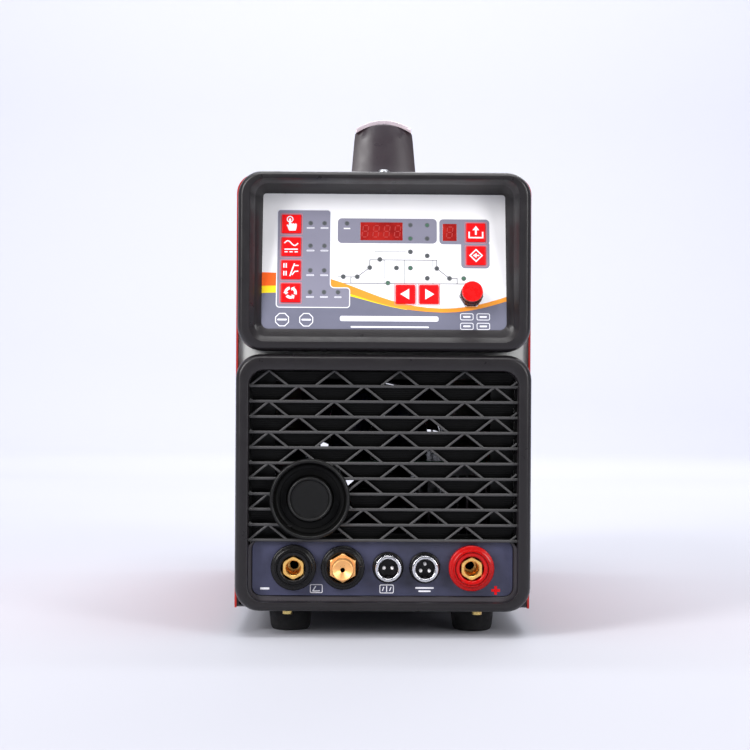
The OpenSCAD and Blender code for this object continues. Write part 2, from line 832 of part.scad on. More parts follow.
module case_screws() color("silver") {
    for (y = side_screw_y) for (side = [-1, 1])
        translate([side * cover_w / 2, y, floor_z + 10]) rotate([0, side * 90, 0])
            pan_screw(case_screw_r, 6, 3.6, 1.7);
    for (side = [-1, 1]) translate([0, side * (half_len - 5), roof_z + flange_t])
        pan_screw(handle_screw_r, 12, 3.8, 2.6);
    for (x = [-fan_hole, fan_hole]) for (z = [-fan_hole, fan_hole])
        to_rear(x, plate_y + 2.6, fan_z + z) pan_screw(handle_screw_r, 12, 3.8, 2.2);
}

// ---- feet ----

module feet() color("#1c1c1e") for (x = [-1, 1]) for (y = [-1, 1])
    translate([x * foot_x, y * foot_y, 0]) difference() {
        rotate_extrude() polygon([
            [0, 0], [10.6, 0], [11.5, 0.4], [12, 1.3],
            [foot_top_r - 0.3, foot_h - 1], [foot_top_r - 0.6, foot_h], [0, foot_h]
        ]);
        translate([0, 0, -eps]) cylinder(r = 5.5, h = 7);
        cylinder(r = 2.6, h = 20);
    }

// One screw through each foot, and one near it that goes up into the end moulding.
module foot_screws() color("goldenrod") for (x = [-1, 1]) for (y = [-1, 1]) {
    translate([x * foot_x, y * foot_y, 7 - eps]) rotate([180, 0, 0])
        pan_screw(2.5, 12, 5, 3);
    translate([x * edge_screw.x, y * edge_screw.y, floor_z]) rotate([180, 0, 0])
        pan_screw(edge_screw_r, edge_screw_len, 3, 2.6);
}

// ---- cooling ----

module fan_frame() color("#202022") to_front(0, fan_y, fan_z) {
    difference() {
        linear_extrude(fan_depth) difference() {
            round_rect(fan_size, fan_size, 5);
            for (x = [-fan_hole, fan_hole]) for (z = [-fan_hole, fan_hole])
                translate([x, z]) circle(2.2);
        }
        translate([0, 0, -1]) cylinder(r = fan_bore_r, h = fan_depth + 2);
    }
    // Motor carrier and its struts, on the inner side of the fan
    translate([0, 0, fan_depth - 4]) cylinder(r = hub_r, h = 4);
    for (a = [0, 120, 240]) rotate([0, 0, a])
        translate([-2, hub_r - 2, fan_depth - 4]) cube([4, fan_bore_r - hub_r + 3, 4]);
    translate([0, 0, 6]) cylinder(r = 3, h = fan_depth - 9);
}

module fan_rotor() color("#2c2c30") to_front(0, fan_y, fan_z) {
    difference() {
        translate([0, 0, 4]) cylinder(r = hub_r, h = fan_depth - 10);
        translate([0, 0, 5.5]) cylinder(r = 3 + run_play, h = fan_depth);
    }
    intersection() {
        for (blade = [0 : blade_count - 1]) rotate([0, 0, blade * 360 / blade_count])
            translate([hub_r - 2, 0, fan_depth / 2 - 1]) rotate([38, 0, 0])
                translate([0, -15, -1]) cube([fan_bore_r, 30, 2]);
        translate([0, 0, 5]) tube(fan_bore_r - 1.5, hub_r - 1, fan_depth - 11);
    }
}

module fan_guard() color("silver") to_rear(0, plate_y + 1.1, fan_z) {
    for (r = [14, 26, 38, 50, 58]) rotate_extrude() translate([r, 2.2]) circle(1, $fn = 16);
    for (a = [45, 135]) rotate([0, 0, a]) rotate([0, 90, 0])
        translate([-0.8, 0, -70.5]) cylinder(r = 0.9, h = 141, $fn = 16);
    for (x = [-fan_hole, fan_hole]) for (z = [-fan_hole, fan_hole]) translate([x, z, -1.1])
        tube(4.5, 2.2, 2.6);
}

// ---- rear fittings ----

module rocker_at() {
    translate([rear_x, rocker_pivot_y, switch_z]) children();
}

module power_switch_housing() color("#18181a") difference() {
    union() {
        to_rear(rear_x, plate_y, switch_z) linear_extrude(2) round_rect(31, 37, 2);
        to_front(rear_x, plate_y + eps, switch_z) linear_extrude(26)
            square([26.4, 32.4], center = true);
    }
    to_front(rear_x, plate_y + 3, switch_z) linear_extrude(18) square([20, 27], center = true);
    rocker_at() rotate([0, 90, 0]) translate([0, 0, -12])
        cylinder(r = rocker_pin_r + run_play, h = 24);
}

module power_switch_rocker() color("crimson") rocker_at() rotate([rocker_tilt, 0, 0]) {
    rotate([90, 0, 90]) translate([0, 0, -9.4]) linear_extrude(18.8) polygon([
        [-5, -6], [-5, 6], [3, 12.3], [6.5, 12], [4.6, 0], [6.5, -12], [3, -12.3]
    ]);
    rotate([0, 90, 0]) translate([0, 0, -11.5]) cylinder(r = rocker_pin_r, h = 23);
}

module gas_inlet() color("goldenrod") to_rear(-rear_x, plate_y, gas_z) difference() {
    union() {
        hexagon(14, 7);
        cylinder(r = 4.5, h = -front_y + 10 - plate_y);
        translate([0, 0, -8]) cylinder(r = 5, h = 9);
    }
    translate([0, 0, -10]) cylinder(r = 2.2, h = 60);
}

module solenoid_valve() color("#2e2e32") {
    // Brass body behind the inlet, coil on top
    difference() {
        union() {
            translate([-rear_x - 12, 152, gas_z - 12]) cube([24, 26.4, 22]);
            translate([-rear_x, 165, gas_z + 9]) cylinder(r = 14, h = 34);
            to_front(-rear_x, 153, gas_z) cylinder(r = 3, h = 9);
        }
        to_front(-rear_x, 190, gas_z) cylinder(r = 2.2, h = 22);
        to_front(-rear_x, 163, gas_z) cylinder(r = 1.7, h = 25);
        translate([-rear_x, 165, gas_z + 2]) cylinder(r = 4 + run_play, h = 30);
    }
}

module solenoid_plunger() color("silver")
    translate([-rear_x, 165, gas_z + 2.3]) cylinder(r = 4, h = 22);

module cable_gland() color("#1b1b1d") to_rear(0, plate_y, gland_z) difference() {
    union() {
        hexagon(22, 5);
        rotate_extrude() polygon([
            [0, 4], [10, 4], [10, 15], [9, 19], [7.5, 21], [0, 21]
        ]);
        translate([0, 0, -12]) cylinder(r = 8, h = 14);
    }
    translate([0, 0, -14]) cylinder(r = 5, h = 50);
}

module earth_stud() color("goldenrod") to_rear(-rear_x, plate_y, earth_z) {
    translate([0, 0, -10]) cylinder(r = 3, h = 28);
    hexagon(10, 5);
    cylinder(r = 6.5, h = 1.4);
    translate([0, 0, -6.5]) hexagon(10, 5);
}

// ---- inside ----

function unit(v) = v / norm(v);
function tangent(path, i) =
    unit(path[min(i + 1, len(path) - 1)] - path[max(i - 1, 0)]);

// A round tube along a path, as one closed surface.
module swept_tube(path, r, sides) {
    n = len(path);
    points = [for (i = [0 : n - 1]) let (
        t = tangent(path, i), a = unit(cross(t, [1, 0.1, 0])), b = cross(t, a)
    ) for (k = [0 : sides - 1])
        path[i] + r * (cos(360 * k / sides) * a + sin(360 * k / sides) * b)];
    walls = [for (i = [0 : n - 2]) for (k = [0 : sides - 1]) let (next = (k + 1) % sides)
        [i * sides + k, i * sides + next, (i + 1) * sides + next, (i + 1) * sides + k]];
    first = [for (k = [sides - 1 : -1 : 0]) k];
    last = [for (k = [0 : sides - 1]) (n - 1) * sides + k];
    polyhedron(points, concat(walls, [first, last]), convexity = 8);
}

module gas_hose() color("#30343a") swept_tube(hose_route, hose_r, 10);

module main_board() color("darkgreen")
    translate([-83, -110, main_board_z]) cube([166, 250, main_board_t]);

module capacitors() color("#303a5a") for (x = [-20, 20]) for (y = [-10, 40])
    translate([x, y, main_board_z + main_board_t]) cylinder(r = capacitor_r, h = 45);

module heat_sink() {
    length = sink_y[1] - sink_y[0];
    fin_t = 1.8;
    fin_step = (sink_w - fin_t) / (fin_count - 1);
    to_front(0, sink_y[1], 0) linear_extrude(length) {
        translate([-sink_w / 2, sink_top_z - sink_base_t]) square([sink_w, sink_base_t]);
        for (fin = [0 : fin_count - 1])
            translate([-sink_w / 2 + fin * fin_step, floor_top_z])
                square([fin_t, sink_top_z - floor_top_z - 1]);
    }
}

module heat_sinks() color("lightgray") for (x = [-sink_x, sink_x])
    translate([x, 0, 0]) heat_sink();

module power_modules() color("#202020") for (x = [-sink_x, sink_x]) for (i = [0 : 3])
    translate([x - 10, sink_y[0] + 15 + i * 38, sink_top_z]) cube([20, 26, module_h]);

module main_transformer() color("#5a4a3a") {
    difference() {
        translate([-26, -25, floor_top_z]) cube([52, 60, 62]);
        translate([-40, -15, floor_top_z + 12]) cube([80, 12, 38]);
        translate([-40, 13, floor_top_z + 12]) cube([80, 12, 38]);
    }
    translate([-23, -14.5, floor_top_z + 12.5]) cube([46, 11, 37]);
    translate([-23, 13.5, floor_top_z + 12.5]) cube([46, 11, 37]);
}

choke_x = 52;
choke_y = -95;
choke_r = 32.5;
choke_wire_r = 11;

module output_choke() color("peru") translate([choke_x, choke_y, floor_top_z])
    rotate_extrude() translate([choke_r - choke_wire_r, choke_wire_r]) circle(choke_wire_r);

bar_y = plate_front_y + 43;                       // front end of the bus bars

module bus_bars() color("darkorange") {
    translate([negative_x - 7, bar_y, socket_z - stud_r - 3])
        cube([14, sink_y[0] - bar_y, 3]);
    translate([positive_x - 7, bar_y, socket_z - stud_r - 3])
        cube([14, choke_y - choke_r - bar_y, 3]);
}

// ---- drawing ----

case_cover();
base_pan();
front_plate();
rear_plate();
rear_frame();
upper_bezel();
lower_bezel();
vent_grille();
connector_plate();
control_panel();
display_windows();
indicator_lamps();
key_remote();
key_current_type();
key_trigger_mode();
key_process();
key_recall();
key_save();
key_left();
key_right();
knob_skirt();
knob_cap();
encoder_shaft();
encoder_body();
encoder_nut();
control_board();
board_components();
negative_socket_shell();
negative_socket_contact();
positive_socket_shell();
positive_socket_contact();
torch_connector_shell();
torch_connector_nozzle();
remote_socket_sleeves();
remote_socket_inserts();
remote_socket_pins();
remote_socket_rings();
handle_body();
handle_cap();
case_screws();
feet();
foot_screws();
fan_frame();
fan_rotor();
fan_guard();
power_switch_housing();
power_switch_rocker();
gas_inlet();
solenoid_valve();
solenoid_plunger();
gas_hose();
cable_gland();
earth_stud();
main_board();
capacitors();
heat_sinks();
power_modules();
main_transformer();
output_choke();
bus_bars();
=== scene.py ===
"""TIG welding machine: finished surfaces, detailed pieces, studio and camera around the CAD frame."""
import math

import bmesh
import bpy
from mathutils import Matrix, Vector


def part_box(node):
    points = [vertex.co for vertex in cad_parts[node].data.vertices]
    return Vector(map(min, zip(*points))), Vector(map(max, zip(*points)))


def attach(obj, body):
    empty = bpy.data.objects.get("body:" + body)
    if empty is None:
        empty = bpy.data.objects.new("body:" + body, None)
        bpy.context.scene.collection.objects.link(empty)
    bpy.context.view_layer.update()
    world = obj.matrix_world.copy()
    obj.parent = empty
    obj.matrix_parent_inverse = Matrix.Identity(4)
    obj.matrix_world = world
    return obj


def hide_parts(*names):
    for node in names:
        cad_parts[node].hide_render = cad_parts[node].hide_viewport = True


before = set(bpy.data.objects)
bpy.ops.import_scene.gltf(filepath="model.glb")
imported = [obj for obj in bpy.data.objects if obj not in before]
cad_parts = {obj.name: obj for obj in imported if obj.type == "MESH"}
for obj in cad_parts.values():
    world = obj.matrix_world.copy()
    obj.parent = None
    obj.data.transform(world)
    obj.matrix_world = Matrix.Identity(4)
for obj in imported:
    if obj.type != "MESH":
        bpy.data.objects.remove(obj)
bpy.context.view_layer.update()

MM = 0.001


# ---- places, in millimetres, taken from the frame ----

def cad(node):
    """Lowest and highest corner of a CAD node."""
    low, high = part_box(node)
    return Vector(low) / MM, Vector(high) / MM


def middle(node):
    low, high = cad(node)
    return (low + high) / 2


PANEL_LEAN = 12.6   # degrees that the control panel leans back
PANEL_MIDDLE = Vector((0, -196.5, 230.85))
FRONT_Y = cad("upper_bezel")[0].y
BEZEL_BACK_Y = cad("upper_bezel")[1].y
PLATE_Y = cad("connector_plate")[0].y
SOCKET_Z = middle("negative_socket_shell").z
REAR_Y = cad("rear_plate")[1].y


def shift(x, y, z):
    return Matrix.Translation((x, y, z))


def turn(degrees, axis):
    return Matrix.Rotation(math.radians(degrees), 4, axis)


def front_frame(x, z):
    """A local frame on the connector plate: its Z looks out of the machine's face, its Y is up."""
    return shift(x * MM, PLATE_Y * MM, z * MM) @ turn(90, "X")


def rear_frame_at(x, z, y=REAR_Y):
    """A local frame on the rear plate: its Z looks out of the back, its Y is down."""
    return shift(x * MM, y * MM, z * MM) @ turn(-90, "X")


def panel_frame(u=0, v=0):
    """A local frame on the sloped panel: X right, Y up the slope, Z outwards."""
    return Matrix.Translation(PANEL_MIDDLE * MM) @ turn(90 - PANEL_LEAN, "X") @ shift(u * MM, v * MM, 0)


# ---- outlines: lists of 2D points, in either direction, since piece() turns the faces outwards ----

def arc(mid, radius, start, end, steps=8):
    angles = [math.radians(start + (end - start) * k / steps) for k in range(steps + 1)]
    return [(mid[0] + radius * math.cos(a), mid[1] + radius * math.sin(a)) for a in angles]


def round_rect(width, height, radius, mid=(0, 0), steps=8, low_radius=None):
    """Outline of a round rectangle. Its two lower corners may have a radius of their own."""
    points = []
    for quarter, (sx, sy) in enumerate([(1, -1), (1, 1), (-1, 1), (-1, -1)]):
        r = low_radius if low_radius and sy < 0 else radius
        corner = (mid[0] + sx * (width / 2 - r), mid[1] + sy * (height / 2 - r))
        points += arc(corner, r, 90 * quarter - 90, 90 * quarter, steps)
    return points


def fillet(before, corner, after, radius, steps=6):
    """Points of an arc that rounds the corner of a path."""
    before, corner, after = Vector(before), Vector(corner), Vector(after)
    a = (before - corner).normalized()
    b = (after - corner).normalized()
    half = a.angle(b) / 2
    mid = corner + (a + b).normalized() * radius / math.sin(half)
    start = corner + a * radius / math.tan(half) - mid
    end = corner + b * radius / math.tan(half) - mid
    sweep = start.angle_signed(end)
    return [tuple(mid + Matrix.Rotation(-sweep * k / steps, 2) @ start) for k in range(steps + 1)]


def stroke(points, width):
    """The outline of an open line drawn with a flat pen."""
    points = [Vector(p) for p in points]
    left, right = [], []
    for i, p in enumerate(points):
        into = (p - points[max(i - 1, 0)]).normalized()
        out = (points[min(i + 1, len(points) - 1)] - p).normalized()
        along = (into + out).normalized()
        side = Vector((-along.y, along.x))
        reach = width / 2 / max(0.5, math.sqrt((1 + into.dot(out)) / 2) if 0 < i < len(points) - 1 else 1)
        left.append(tuple(p + side * reach))
        right.append(tuple(p - side * reach))
    return left + right[::-1]


# ---- shells: (points, faces) pairs in millimetres ----

def loft(rings, loop=False):
    """A skin through rings that all have the same number of points, capped unless it closes on itself."""
    count = len(rings[0])
    points = [tuple(p) for ring in rings for p in ring]
    faces = []
    for i in range(len(rings) if loop else len(rings) - 1):
        a, b = i * count, (i + 1) % len(rings) * count
        for k in range(count):
            n = (k + 1) % count
            faces.append((a + k, a + n, b + n, b + k))
    if not loop:
        faces.append(tuple(range(count))[::-1])
        faces.append(tuple((len(rings) - 1) * count + k for k in range(count)))
    return points, faces


def flat(outline, z):
    """An outline as a ring at one height."""
    return [(x, y, z) for x, y in outline]


def prism(outline, low, high):
    """An outline as a solid between two heights."""
    return loft([flat(outline, low), flat(outline, high)])


def frame_band(outer, inner, low, high):
    """The flat band between two outlines with equal numbers of points."""
    return loft([flat(outer, low), flat(outer, high), flat(inner, high), flat(inner, low)], loop=True)


CORE_R = 0.3        # least radius of a turned shape, where its profile meets the axis


def lathe(profile, steps=48, mid=(0, 0)):
    """Turns (radius, height) points about Z. The profile starts and ends on the axis, or closes."""
    rings = []
    for radius, height in profile:
        radius = max(radius, CORE_R)
        rings.append([(mid[0] + radius * math.cos(math.tau * k / steps),
                       mid[1] + radius * math.sin(math.tau * k / steps), height) for k in range(steps)])
    return loft(rings, loop=profile[0][0] > 0 or profile[-1][0] > 0)


def polar(radius_at, height_at, steps):
    """One ring whose radius and height follow the angle."""
    ring = []
    for k in range(steps):
        a = math.tau * k / steps
        r = radius_at(a)
        ring.append((r * math.cos(a), r * math.sin(a), height_at(a, r)))
    return ring


def hexagon_radius(across_flats):
    """Radius of a hexagon that has a corner straight up."""
    sixth = math.pi / 3
    return lambda a: across_flats / 2 / math.cos(((a + sixth / 2) % sixth) - sixth / 2)


def hex_rings(across_flats, low, high, steps=72):
    """Rings of a turned-and-chamfered hexagon, from its base to its face."""
    radius = hexagon_radius(across_flats)
    face_r = across_flats / 2 * 1.05
    chamfer = math.tan(math.radians(28))
    return [
        polar(radius, lambda a, r: low, steps),
        polar(radius, lambda a, r: high - 0.06 - max(0.0, r - face_r) * chamfer, steps),
        polar(lambda a: min(face_r, radius(a) - 0.08), lambda a, r: high, steps),
    ]


def circles(*spots, steps=72):
    """Round rings from (radius, height) pairs."""
    return [polar(lambda a, r=radius: r, lambda a, r, z=height: z, steps) for radius, height in spots]


def tube(path, radius, loop=False):
    """A round bar along 3D points."""
    path = [Vector(p) for p in path]
    count, sides = len(path), 10
    rings = []
    side = None
    for i, p in enumerate(path):
        after = path[(i + 1) % count] if loop else path[min(i + 1, count - 1)]
        before = path[i - 1] if loop or i else path[0]
        along = (after - before).normalized()
        if side is None:
            side = along.orthogonal().normalized()
        side = (side - along * side.dot(along)).normalized()
        other = along.cross(side)
        rings.append([p + radius * (side * math.cos(math.tau * k / sides)
                                    + other * math.sin(math.tau * k / sides)) for k in range(sides)])
    return loft(rings, loop=loop)


def moved(shell, matrix):
    """A shell carried by a matrix, in millimetres."""
    points, faces = shell
    return [tuple(matrix @ Vector(p)) for p in points], faces


def joined(*shells):
    """Several shells as one."""
    points, faces = [], []
    for more, skin in shells:
        start = len(points)
        points += more
        faces += [tuple(i + start for i in f) for f in skin]
    return points, faces


def new_object(name, data):
    made = bpy.data.objects.new(name, data)
    bpy.context.scene.collection.objects.link(made)
    return made


SAME_POINT = 2e-7   # metres, within which points are welded


def piece(name, shell, finish, body="housing", place=Matrix(), replaces=None, smooth=38,
          dark=None, shade_finish=None):
    """Makes one object from a shell and ties it to the frame.

    Faces whose middle passes the dark test get the second finish, which paints shade on them.
    """
    points, faces = shell
    mesh = bpy.data.meshes.new(name)
    mesh.from_pydata([Vector(p) * MM for p in points], [], faces)
    work = bmesh.new()
    work.from_mesh(mesh)
    bmesh.ops.remove_doubles(work, verts=work.verts, dist=SAME_POINT)
    bmesh.ops.recalc_face_normals(work, faces=work.faces)
    work.to_mesh(mesh)
    work.free()
    mesh.materials.append(finish.material)
    if dark:
        mesh.materials.append(shade_finish.material)
        for face in mesh.polygons:
            face.material_index = int(dark(face.center / MM))
    mesh.shade_smooth()
    mesh.set_sharp_from_angle(angle=math.radians(smooth))
    made = new_object(name, mesh)
    made.matrix_world = place
    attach(made, body)
    if replaces:
        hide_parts(replaces)


def soften(made, width):
    """Rounds a piece's hard edges."""
    bevel = made.modifiers.new("edges", "BEVEL")
    bevel.width = width * MM
    bevel.segments = 2
    bevel.limit_method = "ANGLE"
    bevel.angle_limit = math.radians(40)
    bevel.harden_normals = True


# ---- materials: all procedural, in each object's own coordinates ----

def linear(rgb):
    """Scene-linear colour of an sRGB triple from 0 to 255."""
    parts = [c / 255 for c in rgb]
    return tuple(c / 12.92 if c <= 0.04045 else ((c + 0.055) / 1.055) ** 2.4 for c in parts) + (1.0,)


class Finish:
    """A material that is built up in layers, each a method that returns the finish itself."""

    def __init__(self, name, rgb, rough, metal=0.0, **sockets):
        self.material = bpy.data.materials.new(name)
        self.material.use_nodes = True
        self.material.diffuse_color = linear(rgb)
        self.nodes = self.material.node_tree.nodes
        self.shader = self.nodes["Principled BSDF"]
        self.coords = self.nodes.new("ShaderNodeTexCoord").outputs["Object"]
        self.color, self.normal = linear(rgb), None
        self.feed(self.shader, {"Roughness": rough, "Metallic": metal, "Base Color": self.color})
        self.feed(self.shader, {socket.replace("_", " "): value for socket, value in sockets.items()})

    def feed(self, node, inputs):
        """Sets a node's inputs, or links them to other nodes' outputs."""
        for socket, value in inputs.items():
            if isinstance(value, bpy.types.NodeSocket):
                self.material.node_tree.links.new(value, node.inputs[socket])
            else:
                node.inputs[socket].default_value = value
        return node

    def add(self, kind, inputs, **settings):
        node = self.nodes.new("ShaderNode" + kind)
        for name, value in settings.items():
            setattr(node, name, value)
        return self.feed(node, inputs)

    def noise(self, size, detail=3.0, stretch=None):
        """Noise whose blotches are about size millimetres across."""
        vector = self.coords
        if stretch:
            vector = self.add("Mapping", {"Scale": stretch, "Vector": vector}).outputs["Vector"]
        inputs = {"Scale": 1 / (size * MM), "Detail": detail, "Vector": vector}
        return self.add("TexNoise", inputs).outputs["Fac"]

    def cells(self, size, **settings):
        """Distance from points scattered about size millimetres apart."""
        inputs = {"Scale": 1 / (size * MM), "Vector": self.coords}
        return self.add("TexVoronoi", inputs, **settings).outputs["Distance"]

    def ranged(self, value, low, high, start=0.3, end=0.7):
        """A value that runs from low to high while another runs from start to end."""
        inputs = {"From Min": start, "From Max": end, "To Min": low, "To Max": high, "Value": value}
        return self.add("MapRange", inputs).outputs["Result"]

    def tint(self, factor, rgb):
        """Mixes a colour over what is there, by a factor."""
        self.color = self.add("Mix", {6: self.color, 7: linear(rgb), 0: factor}, data_type="RGBA").outputs[2]
        self.feed(self.shader, {"Base Color": self.color})
        return self

    def mottle(self, size, rgb, amount=0.5, detail=3.0):
        """Soft blotches of another colour."""
        return self.tint(self.ranged(self.noise(size, detail), 0.0, amount), rgb)

    def specks(self, size, rgb, share=0.3):
        """Scattered small grains of another colour."""
        return self.tint(self.ranged(self.cells(size), 1.0, 0.0, 0.0, share), rgb)

    def worn(self, rgb, amount):
        """Edges rubbed to another colour."""
        pointiness = self.add("NewGeometry", {}).outputs["Pointiness"]
        return self.tint(self.ranged(pointiness, 0.0, amount, 0.53, 0.62), rgb)

    def across(self, start, end, rgb, axis="X"):
        """Fades to another colour along one of the object's own axes."""
        parts = self.add("SeparateXYZ", {"Vector": self.coords}).outputs
        return self.tint(self.ranged(parts[axis], 0.0, 1.0, start * MM, end * MM), rgb)

    def math(self, operation, first, second=0.0):
        return self.add("Math", {0: first, 1: second}, operation=operation).outputs["Value"]

    def masked(self, half, top, rgb):
        """Another colour within half a width of the object's own middle and below a height, such as a patch
        of painted shade.
        """
        parts = self.add("SeparateXYZ", {"Vector": self.coords}).outputs
        beside = self.math("LESS_THAN", self.math("ABSOLUTE", parts["X"]), half * MM)
        below = self.math("LESS_THAN", parts["Z"], top * MM)
        return self.tint(self.math("MULTIPLY", beside, below), rgb)

    def rough(self, size, low, high):
        """Roughness that varies between two values."""
        self.feed(self.shader, {"Roughness": self.ranged(self.noise(size, 4.0), low, high)})
        return self

    def raised(self, height, depth, strength=1.0):
        """Bump from a height, over the bumps that are there."""
        inputs = {"Distance": depth * MM, "Strength": strength, "Height": height}
        if self.normal:
            inputs["Normal"] = self.normal
        self.normal = self.add("Bump", inputs).outputs["Normal"]
        self.feed(self.shader, {"Normal": self.normal})
        return self

    def grain(self, size, depth, strength=1.0, stretch=None):
        return self.raised(self.noise(size, 3.0, stretch), depth, strength)

    def pebbles(self, size, depth, strength):
        """Moulded leather-like texture."""
        return self.raised(self.cells(size, feature="SMOOTH_F1"), depth, strength)

    def turned(self, pitch, depth):
        """Tool marks in circles round the object's own Z."""
        inputs = {"Scale": 0.314 / (pitch * MM), "Distortion": 0.6, "Detail": 2.0, "Vector": self.coords}
        rings = self.add("TexWave", inputs, wave_type="RINGS", rings_direction="Z")
        return self.raised(rings.outputs["Fac"], depth)


def powder_coat(name, rgb, dark, light):
    """Sheet metal's fine orange-peel paint."""
    return (Finish(name, rgb, 0.42)
            .mottle(90, dark, 0.35, detail=5).mottle(14, light, 0.18)
            .rough(6, 0.36, 0.5).grain(1.1, 0.06, 0.7).grain(0.35, 0.02, 0.6))


def moulded_plastic(name, rgb, light, rub, shine=0.34):
    return (Finish(name, rgb, 0.4, Specular_IOR_Level=shine)
            .mottle(60, light, 0.35, detail=6).mottle(1.2, light, 0.2)
            .worn(rub, 0.6)
            .rough(9, 0.27, 0.4).pebbles(0.55, 0.035, 0.5).grain(0.3, 0.03, 0.6))


def gloss_plastic(name, rgb, dark, rough=0.16, coat=0.25, shine=0.3):
    return (Finish(name, rgb, rough, Coat_Weight=coat, Coat_Roughness=0.06, Specular_IOR_Level=shine)
            .mottle(12, dark, 0.35, detail=5)
            .rough(3, rough * 0.7, rough * 1.5).grain(2.5, 0.012, 0.4))


def turned_metal(name, rgb, dark, rough, metal=1.0):
    return (Finish(name, rgb, rough, metal)
            .mottle(3, dark, 0.4, detail=5).rough(1.5, rough * 0.75, rough * 1.35)
            .turned(0.18, 0.006).grain(0.5, 0.004, 0.5))


def printed(name, rgb, shade):
    return (Finish(name, rgb, 0.42)
            .mottle(18, shade, 0.25, detail=4).rough(2, 0.36, 0.5).grain(0.25, 0.006, 0.5))


RED_PAINT = powder_coat("red_powder_coat", (186, 28, 15), (142, 17, 9), (214, 54, 34))
PALE_PAINT = powder_coat("pale_powder_coat", (226, 227, 224), (196, 197, 196), (240, 240, 238))
# Pale powder coat with a near-black patch of painted shade behind the grille, below 165 mm and within 81.5 mm
# of the middle.
FRONT_COAT_AND_PAINTED_SHADE = (powder_coat("front_powder_coat_and_painted_shade", (226, 227, 224), (196, 197, 196), (240, 240, 238))
               .masked(81.5, 165, (15, 15, 15)))
GREY_PAINT = powder_coat("grey_powder_coat", (86, 87, 90), (60, 61, 64), (112, 113, 116))
MOULDING = moulded_plastic("black_moulding", (27, 25, 27), (36, 33, 36), (104, 99, 105))
GRILLE_PLASTIC = moulded_plastic("grille_moulding", (15, 15, 15), (21, 21, 21), (90, 89, 90), 0.24)
# Painted shade: a near-black, dull finish for the grille's deep faces and the boss's bowl.
GRILLE_PAINTED_SHADE = (Finish("grille_painted_shade", (8, 8, 8), 0.45, Specular_IOR_Level=0.12)
               .mottle(30, (13, 13, 13), 0.4).rough(6, 0.36, 0.5).grain(0.4, 0.02, 0.5))
HANDLE_PLASTIC = moulded_plastic("handle_moulding", (50, 45, 50), (62, 56, 62), (92, 86, 92))
RUBBER = (Finish("black_rubber", (24, 24, 26), 0.72, Specular_IOR_Level=0.3)
          .mottle(14, (44, 43, 44), 0.35, detail=6).rough(3, 0.62, 0.86)
          .grain(0.6, 0.05, 0.6).pebbles(0.9, 0.03, 0.4))
SILVER = (Finish("silver_lacquer", (198, 187, 195), 0.34, 0.35, Coat_Weight=0.3, Coat_Roughness=0.12)
          .mottle(20, (180, 172, 178), 0.4).specks(0.35, (222, 216, 220), 0.14)
          .rough(4, 0.2, 0.32).grain(1.5, 0.008, 0.4))
PLATE_BLUE = (Finish("blue_grey_print", (66, 68, 100), 0.36)
              .mottle(70, (44, 45, 62), 0.9, detail=2).mottle(9, (84, 87, 122), 0.25)
              .rough(4, 0.3, 0.44).grain(0.4, 0.01, 0.5))
PANEL_FILM = (Finish("panel_film", (248, 247, 248), 0.4)
              .mottle(40, (240, 240, 244), 0.4, detail=3).rough(3, 0.34, 0.5)
              .grain(0.22, 0.008, 0.6))
RED_WINDOW = (Finish("red_window", (150, 17, 15), 0.12, Coat_Weight=0.3, Coat_Roughness=0.03,
                     Specular_IOR_Level=0.3)
              .mottle(9, (196, 40, 32), 0.7, detail=2).mottle(3, (112, 10, 10), 0.35)
              .rough(6, 0.08, 0.16).grain(4, 0.006, 0.3))
LAMP_GREY = gloss_plastic("lamp_grey", (84, 88, 90), (66, 71, 73), 0.3, 0.1)
LAMP_GREEN = gloss_plastic("lamp_green", (78, 112, 94), (56, 88, 72), 0.3, 0.1)
RED_KEY = (Finish("red_key", (240, 6, 16), 0.42, Specular_IOR_Level=0.22)
           .mottle(7, (214, 3, 12), 0.45, detail=4).rough(1.6, 0.32, 0.48)
           .grain(0.35, 0.015, 0.7))
RED_GLOSS = gloss_plastic("red_gloss", (184, 6, 5), (138, 3, 4), 0.24, 0.12, 0.22)
KNOB_RED = gloss_plastic("knob_red", (246, 8, 10), (222, 4, 8), 0.26, 0.15)
# Painted shade: the red knob's side and its black skirt, in a dark red as if in shade.
KNOB_PAINTED_SHADE = gloss_plastic("knob_painted_shade", (62, 8, 8), (40, 5, 6), 0.26, 0.1, 0.22)
BLACK_GLOSS = gloss_plastic("black_gloss", (14, 13, 14), (8, 8, 9), 0.26, 0.1, 0.22)
BLACK_SATIN = (Finish("black_satin", (20, 19, 21), 0.42, Specular_IOR_Level=0.3)
               .mottle(8, (32, 31, 34), 0.4, detail=5).rough(2, 0.34, 0.52)
               .grain(0.4, 0.015, 0.6))
STEEL = (Finish("zinc_steel", (170, 172, 176), 0.34, 1.0)
         .mottle(4, (132, 135, 140), 0.6, detail=6).specks(1.2, (200, 202, 206), 0.4)
         .rough(1.5, 0.26, 0.46).grain(0.6, 0.012, 0.5))
YELLOW_ZINC = (Finish("yellow_zinc", (226, 196, 120), 0.3, 1.0)
               .mottle(2, (200, 160, 96), 0.6, detail=5).mottle(5, (190, 200, 150), 0.3)
               .rough(1, 0.24, 0.4).grain(0.5, 0.008, 0.5))
CHROME = turned_metal("bright_chrome", (222, 222, 226), (176, 178, 186), 0.12)
BRASS = turned_metal("turned_brass", (255, 206, 120), (232, 164, 84), 0.22, metal=0.85)
NOZZLE_BRASS = turned_metal("nozzle_brass", (250, 190, 122), (228, 158, 92), 0.36, metal=0.7)
PIN_SILVER = (Finish("pin_silver", (250, 247, 245), 0.34, 0.2)
              .mottle(1, (226, 224, 224), 0.4).rough(0.8, 0.26, 0.4).grain(0.3, 0.004, 0.4))
